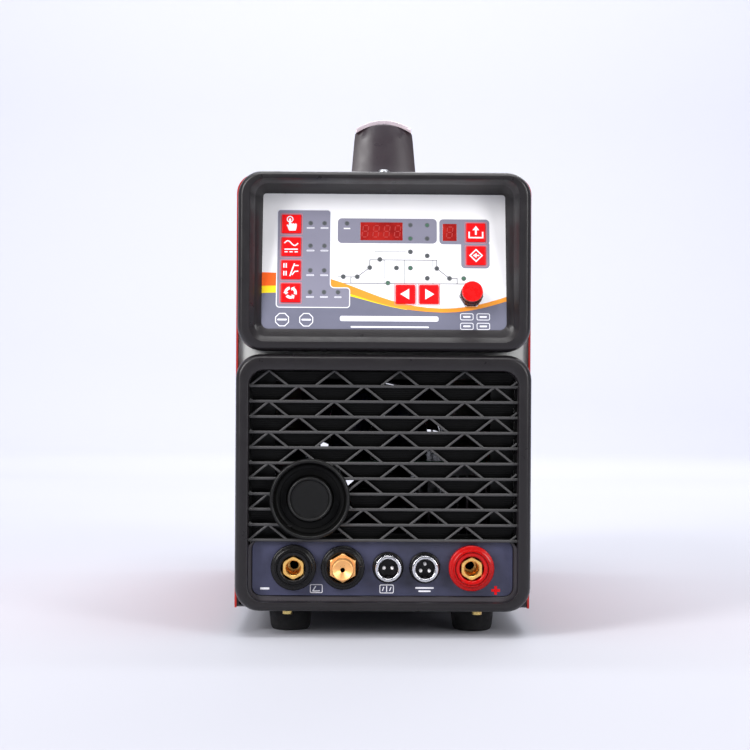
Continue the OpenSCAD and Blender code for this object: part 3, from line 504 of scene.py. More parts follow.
# Painted shade: a dark brown, dull finish for the deep, narrow ends of the contacts' and the nozzle's bores.
BORE_PAINTED_SHADE = (Finish("bore_painted_shade", (26, 16, 8), 0.7, Specular_IOR_Level=0.1)
             .mottle(1, (40, 24, 10), 0.6).rough(1, 0.6, 0.8).grain(0.4, 0.01, 0.5))
COPPER = turned_metal("drawn_copper", (208, 124, 84), (160, 82, 52), 0.3)
ALUMINIUM = (Finish("extruded_aluminium", (150, 151, 154), 0.38, 1.0)
             .mottle(10, (118, 120, 124), 0.5, detail=5).rough(2, 0.26, 0.44)
             .grain(0.25, 0.02, 0.6, stretch=(1, 0.03, 1)))
FERRITE = (Finish("sintered_ferrite", (48, 47, 48), 0.7)
           .mottle(3, (74, 72, 72), 0.6, detail=6).rough(2, 0.6, 0.82)
           .grain(0.5, 0.06, 0.7))
CIRCUIT = (Finish("solder_mask", (12, 84, 44), 0.3, Coat_Weight=0.4, Coat_Roughness=0.15)
           .mottle(5, (26, 112, 60), 0.6, detail=2).specks(3.2, (176, 180, 150), 0.16)
           .rough(2, 0.24, 0.4).grain(0.8, 0.02, 0.5))
SLEEVE = (Finish("shrink_sleeve", (34, 40, 78), 0.28, Coat_Weight=0.3, Coat_Roughness=0.1)
          .mottle(9, (54, 62, 108), 0.5, detail=4).rough(3, 0.22, 0.38)
          .grain(1.6, 0.03, 0.5))
COMPONENTS = (Finish("board_components", (36, 36, 40), 0.45)
              .mottle(4, (66, 66, 72), 0.6, detail=4).rough(2, 0.35, 0.6)
              .grain(0.5, 0.02, 0.5))
PRINT_WHITE = printed("print_white", (240, 240, 246), (222, 222, 232))
PRINT_VIOLET = printed("print_violet", (132, 131, 148), (120, 119, 136))
PRINT_FIELD = printed("print_field", (110, 111, 129), (88, 90, 106))
PRINT_ORANGE = (Finish("print_orange", (255, 96, 0), 0.42)
                .across(-60, -24, (240, 156, 44)).mottle(14, (250, 120, 20), 0.25)
                .rough(2, 0.36, 0.5).grain(0.25, 0.006, 0.5))
PRINT_YELLOW = printed("print_yellow", (255, 220, 12), (250, 204, 16))
PRINT_LINE = printed("print_line", (118, 119, 126), (106, 108, 116))
PRINT_RIM = printed("print_rim", (100, 101, 108), (86, 88, 95))
SEGMENT_RED = printed("segment_red", (178, 52, 48), (150, 30, 28))
PRINT_PALE_RED = printed("print_pale_red", (214, 120, 134), (204, 104, 120))


# ---- end mouldings ----

def rect_ring(box, y):
    """A standing round rectangle. Its box is (half width, lower edge, upper edge, corner radius)."""
    half, bottom, top, radius = box
    line = round_rect(2 * half, top - bottom, radius, (0, (top + bottom) / 2))
    return [(x, y, z) for x, z in line]


def drawn_in(box, by):
    """A box made smaller by a distance on every side."""
    half, bottom, top, radius = box
    return half - by, bottom + by, top - by, radius - by


SIDE_REACH = 6.0    # how far back a moulding's rounded face edge begins
SIDE_INSET = 3.2


def outer_fillet(box, y_front, toward):
    """Rings that carry a moulding's side round into its face."""
    steps = 6
    rings = []
    for k in range(steps + 1):
        t = math.pi / 2 * k / steps
        y = y_front + toward * SIDE_REACH * (1 - math.sin(t))
        rings.append(rect_ring(drawn_in(box, SIDE_INSET * (1 - math.cos(t))), y))
    return rings


REBATE = 3.8        # length of the step that slips inside the cover
REBATE_IN = 1.4     # height of that step
OUTER_R = 15        # corner radius of the end mouldings
BEAD = 0.55         # radius of a moulding's inner edge


def moulding_rings(half, low, high, y_front, y_back):
    """The outside of an end moulding, from its back edge to the start of its face."""
    toward = 1 if y_back > y_front else -1
    step_y = y_back - toward * REBATE
    box = (half, low, high, OUTER_R)
    inner = drawn_in(box, REBATE_IN)
    return ([rect_ring(inner, y_back), rect_ring(inner, step_y), rect_ring(box, step_y)]
            + outer_fillet(box, y_front, toward))


def sloped_ring(box, share):
    """A round rectangle on a plane that lies between the face and the sloped panel."""
    rise = math.tan(math.radians(PANEL_LEAN))
    ring = []
    for x, _, z in rect_ring(box, 0):
        panel_y = PANEL_MIDDLE.y + (z - PANEL_MIDDLE.z) * rise
        ring.append((x, FRONT_Y + share * (panel_y - FRONT_Y), z))
    return ring


def lip_rings(rim, opening, y_front, toward):
    """A face's inner edge: a tight bead, then a hollow slope down to the opening's edge."""
    fall = 1.5
    start = drawn_in(rim, BEAD)
    rings = [rect_ring(rim, y_front), rect_ring(drawn_in(rim, BEAD * 0.7), y_front + toward * BEAD * 0.3),
             rect_ring(start, y_front + toward * BEAD)]
    for t, sink in ((0.35, 0.55), (0.75, 0.85), (1.0, 1.0)):
        box = [a + (b - a) * t for a, b in zip(start, opening)]
        rings.append(rect_ring(box, y_front + toward * (BEAD + (fall - BEAD) * sink)))
    return rings


def panel_ring(width, height, radius, w=0.0, low_radius=None):
    """A round rectangle that lies on the sloped panel's plane."""
    place = panel_frame()
    outline = round_rect(width, height, radius, low_radius=low_radius)
    return [tuple(place @ (Vector((u, v, w)) * MM) / MM) for u, v in outline]


def slid_back(ring, y_back):
    """The same ring carried back along the panel's normal to a plane."""
    normal = Vector((0, math.cos(math.radians(PANEL_LEAN)), -math.sin(math.radians(PANEL_LEAN))))
    return [tuple(Vector(p) + normal * max(0.05, (y_back - p[1]) / normal.y)) for p in ring]


def upper_bezel():
    """Deep black frame with a steep lip and a slope down to the panel."""
    low, high = cad("upper_bezel")
    half = high.x
    rim = (half - 7.2, low.z + 5.6, high.z - 4.4, 10)
    rings = moulding_rings(half, low.z, high.z, FRONT_Y, BEZEL_BACK_Y)
    for inset, drop in ((0, 0), (0.15, 0.12), (0.45, 0.5)):
        rings.append(rect_ring(drawn_in(rim, inset), FRONT_Y + drop))
    # The slope's foot: its box, and its share of the way from the face to the panel
    for box, share in (((79.7, 183.25, 278.45, 8), 0.44), ((79.35, 183.6, 278.1, 8), 0.5),
                       ((78.85, 184.1, 277.6, 7.6), 0.53)):
        rings.append(sloped_ring(box, share))
    # The lip over the panel's edge: width, height, upper and lower corner radius, height over the panel
    for width, height, top_r, low_r, w in ((151.3, 87.6, 2.4, 4.9, 0.9), (150.5, 86.8, 1.9, 4.4, 0.25),
                                           (150.7, 87.0, 2.0, 4.5, 0.0)):
        rings.append(panel_ring(width, height, top_r, w, low_r))
    pocket = panel_ring(155.1, 91.4, 5.2)
    rings += [pocket, slid_back(pocket, BEZEL_BACK_Y)]
    piece("upper_bezel_moulding", loft(rings, loop=True), MOULDING,
          replaces="upper_bezel", smooth=32)


def open_moulding(node, rim, opening, y_front, y_back):
    """An end moulding round a plain opening."""
    low, high = cad(node)
    rings = moulding_rings(high.x, low.z, high.z, y_front, y_back)
    rings += lip_rings(rim, opening, y_front, 1 if y_back > y_front else -1)
    return loft(rings + [rect_ring(opening, y_back)], loop=True)


def lower_bezel():
    """Black frame round the grille, with a ledge and a pocket for the connector plate."""
    low, high = cad("lower_bezel")
    rim = (high.x - 7.4, low.z + 5.2, high.z - 9.0, 10.2)
    frame_shell = open_moulding("lower_bezel", rim, (82.3, 22.0, 163.1, 9.5), FRONT_Y, BEZEL_BACK_Y)
    ledge_front, pocket_floor, ledge_back = PLATE_Y - 2, PLATE_Y + 2, PLATE_Y + 6
    outside = (82.6, 21.6, 59.0, 6.5)
    mouth = (80.6, 24.4, 58.99, 6)
    pocket = (80.1, 24.9, 58.95, 5.6)
    hole = (75, 28, 56, 3)
    ledge = loft([rect_ring(box, y) for box, y in (
        (outside, ledge_back), (outside, ledge_front), (mouth, ledge_front), (pocket, ledge_front + 0.6),
        (pocket, pocket_floor), (hole, pocket_floor), (hole, ledge_back))], loop=True)
    piece("lower_bezel_moulding", joined(frame_shell, ledge), MOULDING,
          replaces="lower_bezel", smooth=32)


def rear_moulding():
    """Black frame round the rear plate."""
    low, high = cad("rear_frame")
    rim = (high.x - 6.4, low.z + 6.2, high.z - 6.2, 10.5)
    shell = open_moulding("rear_frame", rim, (82.3, low.z + 8, high.z - 8, 9.5), high.y, low.y)
    piece("rear_frame_moulding", shell, MOULDING, replaces="rear_frame", smooth=32)


# ---- grille ----

GRILLE_FRONT = cad("vent_grille")[0].y + 4.5
BAR_PITCH = 9.43
BAR_COUNT = 11
FIRST_BAR_Z = 153.57
RIB_PITCH = 40      # distance between the tops of the inverted Vs of a row
RIB_HALF = 11.9     # half the width of an inverted V at its foot
BOSS = (-44.8, 84.4)
BOSS_CUT_R = 23.4   # radius inside which bars, ribs and slats stop
GRILLE_HALF = 82.2
GRILLE_BORDER = (GRILLE_HALF, 59.1, 163.0, 1.2)


def rail_section(thick, depth):
    """Section of a bar: (across, forward) points with a rounded, slightly drafted nose."""
    half, nose = thick / 2, 0.5
    back = half * 0.8
    return [(-back, -depth), (back, -depth), (half, -nose), (half * 0.72, -nose * 0.3), (half * 0.3, 0),
            (-half * 0.3, 0), (-half * 0.72, -nose * 0.3), (-half, -nose)]


def rail(start, end, thick, depth, set_back=0.0):
    """A bar between two (x, z) points whose nose faces the front."""
    start, end = Vector(start), Vector(end)
    along = (end - start).normalized()
    across = Vector((-along.y, along.x))
    return loft([[(p.x + across.x * a, GRILLE_FRONT + set_back - f, p.y + across.y * a)
                  for a, f in rail_section(thick, depth)] for p in (start, end)])


def outside_boss(start, end):
    """The stretches of a line of the lattice that lie outside the round boss."""
    start, end, mid = Vector(start), Vector(end), Vector(BOSS)
    along = end - start
    a = along.dot(along)
    b = 2 * (start - mid).dot(along)
    c = (start - mid).dot(start - mid) - BOSS_CUT_R ** 2
    root = b * b - 4 * a * c
    if root <= 0:
        return [(start, end)]
    first, last = ((-b - math.sqrt(root)) / (2 * a), (-b + math.sqrt(root)) / (2 * a))
    parts = []
    if first > 0.02:
        parts.append((start, start + along * min(first, 1)))
    if last < 0.98:
        parts.append((start + along * max(last, 0), end))
    return parts if first < 1 and last > 0 else [(start, end)]


def clipped(start, end):
    """A line of the lattice, cut off at the sides of the window, or None if it lies outside."""
    (x0, z0), (x1, z1) = start, end
    limit = GRILLE_HALF - 0.4
    if max(x0, x1) < -limit or min(x0, x1) > limit:
        return None

    def cut(x, z, other_x, other_z):
        if abs(x) <= limit:
            return (x, z)
        edge = math.copysign(limit, x)
        return (edge, z + (other_z - z) * (edge - x) / (other_x - x))

    return cut(x0, z0, x1, z1), cut(x1, z1, x0, z0)


def slat(left_top, left_low, right_low, right_top, z_low, z_high):
    """A ridged blade that leans back between two pairs of ribs."""
    ridges, thick, ridge_depth = 7, 0.9, 0.12
    low_y, high_y = GRILLE_FRONT + 7.4, GRILLE_FRONT + 3.6
    profile = []
    for k in range(ridges):
        t = k / ridges
        y = low_y + (high_y - low_y) * t
        z = z_low + (z_high - z_low) * t
        profile += [(y, z, t), (y - ridge_depth, z + (z_high - z_low) / ridges * 0.8, t + 0.8 / ridges)]
    profile += [(high_y, z_high, 1.0), (high_y + thick, z_high, 1.0), (low_y + thick, z_low, 0.0)]
    return loft([[(low_x + (high_x - low_x) * t, y, z) for y, z, t in profile]
                 for low_x, high_x in ((left_low, left_top), (right_low, right_top))])


def first_top(row):
    """Place of a row's first inverted V. Every second row is shifted."""
    return -110.2 if row % 2 == 0 else -92


def grille_lattice():
    """Level bars, and between them rows of inverted Vs."""
    shells = []
    for row in range(BAR_COUNT):
        z = FIRST_BAR_Z - row * BAR_PITCH
        for a, b in outside_boss((-GRILLE_HALF, z), (GRILLE_HALF, z)):
            shells.append(rail(a, b, 1.75, 7.6))
        for k in range(6):
            top = first_top(row) + RIB_PITCH * k
            for side in (-1, 1):
                line = clipped((top, z + BAR_PITCH), (top + side * RIB_HALF, z))
                if line:
                    shells += [rail(a, b, 1.45, 7.0, 0.25) for a, b in outside_boss(*line)
                               if (b - a).length > 1]
    return shells


def grille_slats():
    """Slats that fill the cells between the inverted Vs."""
    shells = []
    limit = GRILLE_HALF - 0.5
    for row in range(BAR_COUNT):
        z_low = FIRST_BAR_Z - row * BAR_PITCH + 0.6
        z_high = z_low + BAR_PITCH - 1.2
        for k in range(-1, 6):
            left = first_top(row) + RIB_PITCH * k
            right = first_top(row) + RIB_PITCH * (k + 1)
            left_top, left_low = max(left, -limit), max(left + RIB_HALF, -limit)
            right_low, right_top = min(right - RIB_HALF, limit), min(right, limit)
            if right_low - left_low >= 2 and right_top - left_top >= 2:
                shells += slat_outside_boss(left_top, left_low, right_low, right_top, z_low, z_high)
    return shells


def slat_outside_boss(left_top, left_low, right_low, right_top, z_low, z_high):
    """A slat, cut where the boss stands."""
    off = abs((z_low + z_high) / 2 - BOSS[1])
    if off >= BOSS_CUT_R:
        return [slat(left_top, left_low, right_low, right_top, z_low, z_high)]
    reach = math.sqrt(BOSS_CUT_R ** 2 - off ** 2)
    west, east = BOSS[0] - reach, BOSS[0] + reach
    shortest = 1.5
    parts = []
    if left_low < west and min(right_top, west) - left_top > shortest:
        parts.append(slat(left_top, left_low, min(right_low, west), min(right_top, west), z_low, z_high))
    if right_low > east and right_top - max(left_top, east) > shortest:
        parts.append(slat(max(left_top, east), max(left_low, east), right_low, right_top, z_low, z_high))
    return parts


def boss_profile():
    """Outer ring, stepped bowl and raised disc, as (radius, height) points."""
    ring = [(24.6, 0), (24.6, 11.4)] + arc((23.4, 11.4), 1.1, 20, 160, 6) + [(22.2, 10.6)]
    bowl = [(21.7, 4.4), (21.1, 3.4), (19.9, 2.9), (18.6, 2.8), (18.3, 2.3), (16.2, 2.1), (14.7, 2.5),
            (14.1, 3.4)]
    disc = [(13.7, 8.4)] + arc((12.7, 8.7), 0.95, 10, 170, 6)
    disc += [(11.7, 8.6), (11.35, 8.05), (10.9, 8.0), (5, 8.0), (0, 8.0)]
    return [(0, 0)] + ring + bowl + disc


def vent_grille():
    """Border, round boss, lattice and slats in one moulding, with painted shade in a near-black, dull finish
    on the deep faces and in the boss's bowl.
    """
    window = (80.7, 60.6, 161.5, 1.0)
    front_y, back_y = GRILLE_FRONT + 6, GRILLE_FRONT + 8
    border = loft([rect_ring(GRILLE_BORDER, back_y), rect_ring(GRILLE_BORDER, front_y),
                   rect_ring(window, front_y), rect_ring(window, back_y)], loop=True)
    boss = moved(lathe(boss_profile(), 96), shift(BOSS[0], back_y, BOSS[1]) @ turn(90, "X"))

    # Faces that get painted shade: those in the boss's bowl and those deep in the lattice.
    def in_painted_shade(p):
        from_boss = math.hypot(p.x - BOSS[0], p.z - BOSS[1])
        in_bowl = 13.9 < from_boss < 21.9
        return in_bowl or from_boss > 24.8 and p.y > GRILLE_FRONT + 2.2

    piece("vent_grille_moulding", joined(border, boss, *grille_lattice(), *grille_slats()),
          GRILLE_PLASTIC, replaces="vent_grille", dark=in_painted_shade, shade_finish=GRILLE_PAINTED_SHADE)


# ---- sockets ----

def socket_at(node):
    """Local frame of a connector on the front plate."""
    return front_frame(middle(node).x, SOCKET_Z)


def weld_shell_profile():
    """Flange and grooved collar of a weld socket's shell, as (radius, height) points."""
    flange = [(10.8, -24), (10.8, 0), (13.9, 0), (13.9, 5.3)] + arc((12.9, 5.4), 1.0, 10, 80, 4)
    collar = [(11.7, 6.55), (11.35, 6.8), (11.3, 8.4), (11.0, 8.9), (10.5, 9.0), (10.35, 8.2), (10.2, 7.6),
              (9.8, 7.6), (9.65, 8.2), (9.5, 9.0), (8.2, 9.0), (7.7, 8.7), (7.5, 8.2), (7.5, -3)]
    return flange + collar + [(6.1, -3), (6.1, -24)]


def torch_shell_profile():
    """The same for the torch connector's lower shell."""
    flange = [(10.8, -24), (10.8, 0), (13.4, 0), (13.4, 4.4)] + arc((12.4, 4.5), 1.0, 10, 80, 4)
    collar = [(11.4, 5.55), (11.05, 5.8), (10.9, 6.3), (10.5, 6.5), (9.6, 6.5), (9.2, 6.2), (9.1, 5.6)]
    return flange + collar + [(9.1, -3), (6.1, -3), (6.1, -24)]


def weld_contact():
    """A hexagonal brass contact with a bore that narrows in steps."""
    bore = 4.5
    rings = circles((4, -47), (4, -37), (6, -37), (6, -3)) + hex_rings(12.5, -3, 7.5)
    rings += circles((bore + 0.35, 7.5), (bore, 7.15))
    for k in range(5):
        z = -2 - 2.6 * k
        rings += circles((bore, z), (bore, z - 1.5), (bore - 0.35, z - 1.8), (bore - 0.35, z - 2.4))
    return loft(rings + circles((bore, -14.5), (2.8, -14.5), (2.6, -14.8), (2.6, -26)))


def torch_nozzle():
    """Hexagon and round nose with a hollow cone round the gas bore."""
    nose, tip = 6.7, 20.0
    rings = circles((3, -46), (3, -34), (6, -34), (6, -3)) + hex_rings(15.4, -3, 7)
    rings += circles((6.9, 7), (nose, 7.3), (nose, tip - 1.2), (nose - 0.2, tip - 0.5),
                     (nose - 0.5, tip - 0.1), (nose - 0.8, tip), (nose - 1.1, tip - 0.1))
    return loft(rings + circles((4, tip - 0.95), (1.5, tip - 1.9), (1.4, tip - 2.1), (1.4, tip - 20)))


def in_contact_bore(p):
    """Whether a point lies in the narrow end of a contact's bore, which gets painted shade."""
    return -26.5 < p.z < -14.7 and p.xy.length < 3


# Points in the nozzle's gas bore, which gets painted shade.
def in_gas_bore(p):
    return p.z < 17.9 and p.xy.length < 2


def threaded(profile_r, low, high, pitch=1.0, depth=0.35):
    """Rings of a fine thread, as (radius, height) points."""
    count = int((high - low) / pitch)
    points = []
    for k in range(count):
        z = low + k * pitch
        points += [(profile_r - depth, z), (profile_r, z + pitch * 0.35), (profile_r, z + pitch * 0.6)]
    return points


def remote_sleeve():
    """Threaded sleeve with a rounded mouth."""
    outside = [(7.6, -12), (7.6, 2.5)] + threaded(7.95, 2.7, 7.0) + [(7.7, 7.2), (8.05, 7.5), (8.05, 9.6)]
    mouth = [(7.9, 10.05), (7.6, 10.25), (6.6, 10.3), (6.2, 10.1), (6.0, 9.7), (6.0, -12)]
    return lathe(outside + mouth, 64)


def sockets():
    """Two weld sockets, the torch connector and the remote sockets."""
    shell = lathe(weld_shell_profile(), 96)
    for side, finish, slot in (("negative", BLACK_GLOSS, "black_gloss"),
                               ("positive", RED_GLOSS, "red_gloss")):
        node = f"{side}_socket_shell"
        piece(f"{side}_socket_moulding", shell, finish, replaces=node, place=socket_at(node))
    for side in ("negative", "positive"):
        node = f"{side}_socket_contact"
        # The narrow end of each contact's bore gets painted shade.
        piece(f"{side}_contact_turned", weld_contact(), BRASS, replaces=node,
              place=socket_at(node), smooth=30, dark=in_contact_bore, shade_finish=BORE_PAINTED_SHADE)
    place = socket_at("torch_connector_shell")
    piece("torch_connector_moulding", lathe(torch_shell_profile(), 96), BLACK_GLOSS,
          replaces="torch_connector_shell", place=place)
    # The nozzle's gas bore gets painted shade.
    piece("torch_nozzle_turned", torch_nozzle(), NOZZLE_BRASS,
          replaces="torch_connector_nozzle", place=place, smooth=30, dark=in_gas_bore, shade_finish=BORE_PAINTED_SHADE)
    remote_sockets()


def remote_sockets():
    """A two-pin and a three-pin socket. Parts that are alike are joined, as in the frame."""
    low, high = cad("remote_socket_rings")
    ring_r = 9.6
    ring = [(7.65, 0), (ring_r, 0), (ring_r, 1.7), (9.3, 2.3), (8.7, 2.6), (7.65, 2.6)]
    insert = [(0, -12), (5.95, -12), (5.95, 0.6), (5.7, 0.95), (5.0, 1.0), (4.9, 0.75), (0, 0.7)]
    key = prism(round_rect(1.6, 1.2, 0.3, (0, -5.6)), 0.5, 9.2)
    pin = [(0, -14), (1, -14), (1, 4.6), (0.85, 5.2), (0.5, 5.45), (0, 5.5)]
    sleeves, rings, inserts, pins = [], [], [], []
    for x, spots in ((low.x + ring_r, [(-2.5, 0), (2.5, 0)]),
                     (high.x - ring_r, [(0, 2.6), (-2.6, -1.6), (2.6, -1.6)])):
        at = shift(x, 0, 0)
        sleeves.append(moved(remote_sleeve(), at))
        rings.append(moved(lathe(ring, 64), at))
        inserts += [moved(lathe(insert, 48), at), moved(key, at)]
        pins += [moved(lathe(pin, 20), shift(x + u, v, 0)) for u, v in spots]
    place = front_frame(0, SOCKET_Z)
    for part, shells, finish, slot in (("sleeves", sleeves, CHROME, "bright_metal"),
                                       ("rings", rings, BLACK_GLOSS, "black_gloss"),
                                       ("inserts", inserts, BLACK_SATIN, "black_gloss"),
                                       ("pins", pins, PIN_SILVER, "bright_metal")):
        node = "remote_socket_" + part
        piece(node + "_turned", joined(*shells), finish, replaces=node, place=place)


# ---- control panel ----

LAYER = 0.05        # thickness of one layer of print
SUNK = -0.03        # how far print reaches into what it lies on
KEY_INK = 0.14      # thickness of the print on the keys
OVER_INK = 0.15     # the same where it crosses other print


def on_panel(shell):
    """Carries a shell drawn flat at the origin to its place on the sloped panel."""
    matrix = panel_frame()
    points, faces = shell
    return [tuple(matrix @ (Vector(p) * MM) / MM) for p in points], faces


def ink(outline, layer):
    """Print with a given number of layers, drawn flat at the origin."""
    return prism(outline, SUNK, LAYER * layer)


def pen(points, width, low=0.0, high=KEY_INK):
    """A line drawn with a flat pen, as a thin solid."""
    return prism(stroke(points, width), low, high)


def ink_frame(outer, inner, layer):
    return frame_band(outer, inner, SUNK, LAYER * layer)


def box_outline(left, right, low, high, radius):
    return round_rect(right - left, high - low, radius, ((left + right) / 2, (low + high) / 2), 6)


def outlined_box(left, right, low, high, radius, line, layer):
    outer = box_outline(left, right, low, high, radius)
    inner = box_outline(left + line, right - line, low + line, high - line, max(radius - line, 0.1))
    return ink_frame(outer, inner, layer)


def curve_between(start, pull_a, pull_b, end):
    """A Bezier curve."""
    steps = 10
    points = []
    for k in range(steps + 1):
        t = k / steps
        a, b, c, d = (1 - t) ** 3, 3 * t * (1 - t) ** 2, 3 * t * t * (1 - t), t ** 3
        points.append((a * start[0] + b * pull_a[0] + c * pull_b[0] + d * end[0],
                       a * start[1] + b * pull_a[1] + c * pull_b[1] + d * end[1]))
    return points


PANEL_HALF_U = 75.4
PANEL_HALF_V = 43.6
KEY_SIZE = 12.2
KEY_FACE = 0.84     # height of a key's face over the panel
KEY_SPOTS = {
    "key_remote": (-57.5, 23.6), "key_current_type": (-57.5, 8.85), "key_trigger_mode": (-57.5, -5.9),
    "key_process": (-57.5, -20.65), "key_recall": (56.8, 18.8), "key_save": (56.8, 3.9),
    "key_left": (13.1, -21.1), "key_right": (27.6, -21.1),
}
WINDOWS = ((-1.7, 19.3, 26.6, 11.9, 4), (40.6, 18.9, 9.0, 11.3, 1))      # place, size, number of figures
KNOB = (53.5, -22.5)
LAMP_R = 1.15
GREEN_LAMPS = [(16.2, -4.2), (2.3, -13.9), (49.1, -10.7), (16.2, 14.8), (26.6, 23.5)]
GREY_LAMPS = ([(u, v) for v in (24.3, 9.7, -6.1, -20) for u in (-45.6, -37)]
              + [(-28.4, -20), (-23.1, 24.3), (16.2, 23.5), (26.6, 14.8)]
              + [(-25.2, -10), (-16.6, -10), (-8.9, -4.1), (-2.7, 1.2), (7.6, -4.2), (16.2, 6.2), (26.6, 3.7),
                 (26.6, -10.7), (32.5, -4.4), (40.3, -10.7)])


def smooth_line(*curves):
    """Bezier curves strung together, left to right."""
    points = []
    for curve in curves:
        points += curve_between(*curve)[1 if points else 0:]
    return points


def panel_print():
    """White ground, lower field, and the orange band with its yellow edge, each on a layer of its own."""
    half_u, half_v, corner_r = PANEL_HALF_U, PANEL_HALF_V, 1.6
    top = smooth_line([(-half_u, -7.5), (-55, -7.9), (-44, -9), (-32.2, -11.8)],
                      [(-32.2, -11.8), (-12, -17.5), (5, -29.5), (35.4, -29.9)],
                      [(35.4, -29.9), (50, -30.1), (62, -26.8), (half_u, -22.2)])
    low = smooth_line([(-half_u, -16.2), (-60, -15.6), (-44, -16), (-30, -18.6)],
                      [(-30, -18.6), (-12, -22.5), (2, -31.8), (35.4, -32.5)],
                      [(35.4, -32.5), (50, -32.6), (62, -29.6), (half_u, -25.1)])
    yellow_top = smooth_line([(-half_u, -15.9), (-60, -15.3), (-44, -15.7), (-30, -18.3)],
                             [(-30, -18.3), (-15, -21.4), (-2, -27.4), (14.2, -30.2)])
    yellow_low = smooth_line([(-half_u, -20.8), (-58, -19.8), (-40, -19.9), (-28, -21)],
                             [(-28, -21), (-14, -23.4), (-2, -28.6), (14.2, -30.9)])
    corner = (half_u - corner_r, -half_v + corner_r)
    field_top = [(u, v + 2) for u, v in low]
    field = field_top + arc(corner, corner_r, 0, -90, 6)
    field += arc((-corner[0], corner[1]), corner_r, -90, -180, 6)
    shapes = (
        ("white_top", box_outline(-half_u, half_u, -half_v, half_v, corner_r), 0.5, PANEL_FILM),
        ("lower_field", field[::-1], 1, PRINT_FIELD),
        ("orange_band", low + top[::-1], 2, PRINT_ORANGE),
        ("yellow_band", yellow_low + yellow_top[::-1], 1.5, PRINT_YELLOW),
    )
    for name, outline, layer, finish in shapes:
        piece("panel_" + name, on_panel(ink(outline, layer)), finish)


def left_block():
    """The violet block behind the left keys, with its pale border."""
    r = 2.2
    left, right, low, high, foot_right, foot_top = -66.5, -32.9, -30.0, 33.2, -20.9, -16.9

    def outline(inset):
        line = arc((left + r, high - r), r - inset, 90, 180, 6)
        line += arc((left + r, low + r), r - inset, 180, 270, 6)
        line += arc((foot_right - r, low + r), r - inset, 270, 360, 6)
        line += arc((foot_right - r, foot_top - r), r - inset, 0, 90, 6)
        line += arc((right + r, foot_top + r), r + inset, 270, 180, 6)
        line += arc((right - r, high - r), r - inset, 0, 90, 6)
        return line

    piece("panel_left_block", on_panel(ink(outline(0.5), 2.4)), PRINT_VIOLET)
    piece("panel_left_border", on_panel(ink_frame(outline(0.0), outline(0.55), 2.9)), PRINT_WHITE)


def right_blocks():
    """Violet fields behind the windows and the right keys."""
    fields = joined(ink(box_outline(-28.8, 32.6, 11.6, 27.6, 2.6), 2.4),
                    ink(box_outline(34.2, 65.2, 11.2, 27.4, 2.4), 2.4),
                    ink(box_outline(47.6, 65.2, -4.2, 13.4, 2.4), 2.35))
    piece("panel_right_blocks", on_panel(fields), PRINT_VIOLET)


PULSE_CURVE = [(-20.5, -13.9), (-20.5, -10.2), (-16.6, -10.0), (-8.9, -4.1), (-8.9, 0.9), (32.5, 0.9),
               (32.5, -4.4), (40.3, -10.7), (45.0, -10.7), (45.0, -14.4)]


def curve_lines():
    """The weld-cycle diagram: curve, baseline with its arrow, uprights and short level lines."""
    low, high, left, fine = -14.2, 0.9, -20.5, 0.35
    lines = [stroke(PULSE_CURVE, 0.55), stroke([(-26, low), (50, low)], 0.55)]
    lines += [stroke([(u, high), (u, low)], fine) for u in (0.0, 12.5, 30.1)]
    lines += [stroke([(-28.8, -10), (left, -10)], fine), stroke([(-6.0, 6.2), (13.4, 6.2)], fine)]
    lines.append([(50, -15.1), (52.2, low), (50, -13.3)])
    piece("panel_cycle_diagram", on_panel(joined(*[ink(line, 1.4) for line in lines])), PRINT_LINE)


def generic_marks():
    """Plain bars and frames where a real panel has wording."""
    marks = []
    for u in (-45.6, -37):
        for v in (21.2, 6.6, -9.2, -23.1):
            marks.append(outlined_box(u - 2.4, u + 2.4, v - 0.45, v + 0.45, 0.4, 0.3, 3.2))
    marks.append(outlined_box(-30.6, -26.2, -23.6, -22.7, 0.4, 0.3, 3.2))
    marks.append(ink(box_outline(-25.2, -21, 20.6, 21.4, 0.38), 3.2))
    badge_v = -37.6
    for u in (-62.5, -47.7):
        outer, inner = ([(u + r * math.cos(a), badge_v + r * math.sin(a))
                         for a in (math.radians(22.5 + 45 * k) for k in range(8))] for r in (4.6, 4.0))
        marks.append(ink_frame(outer, inner, 2.6))
        marks.append(ink(box_outline(u - 2.9, u + 2.9, badge_v - 0.5, badge_v + 0.6, 0.5), 2.6))
    for u in (50.8, 60.9):
        for v in (-35.1, -41.1):
            marks.append(outlined_box(u - 4.1, u + 4.1, v - 2.2, v + 2.2, 1.1, 0.45, 2.6))
            marks.append(ink(box_outline(u - 2.3, u + 2.3, v - 0.55, v + 0.55, 0.5), 2.6))
    marks.append(ink(box_outline(-27.1, 33.4, -38.3, -35.0, 1.2), 2.6))
    marks.append(ink(box_outline(-20.5, 27.5, -42.4, -41.4, 0.48), 2.6))
    piece("panel_generic_marks", on_panel(joined(*marks)), PRINT_WHITE)


def key_cap():
    """A square key with a rounded edge and a slightly dished face, on a flange and a stem."""
    def square(side, radius, z):
        return flat(round_rect(side, side, radius, steps=4), z)

    rings = [square(3.4, 1.6, -9.5), square(3.4, 1.6, -3.5), square(13.6, 0.6, -3.5), square(13.6, 0.6, -2.3)]
    for inset, z in ((0, -2.3), (0, 0.45), (0.12, 0.72), (0.4, 0.88), (1.2, 0.9), (3.2, 0.82)):
        rings.append(square(KEY_SIZE - 2 * inset, max(0.8 - inset * 0.2, 0.3), z))
    return loft(rings)


def chip(width, height, radius, at, thick=KEY_INK):
    """A small printed bar."""
    return prism(round_rect(width, height, radius, at), 0, thick)


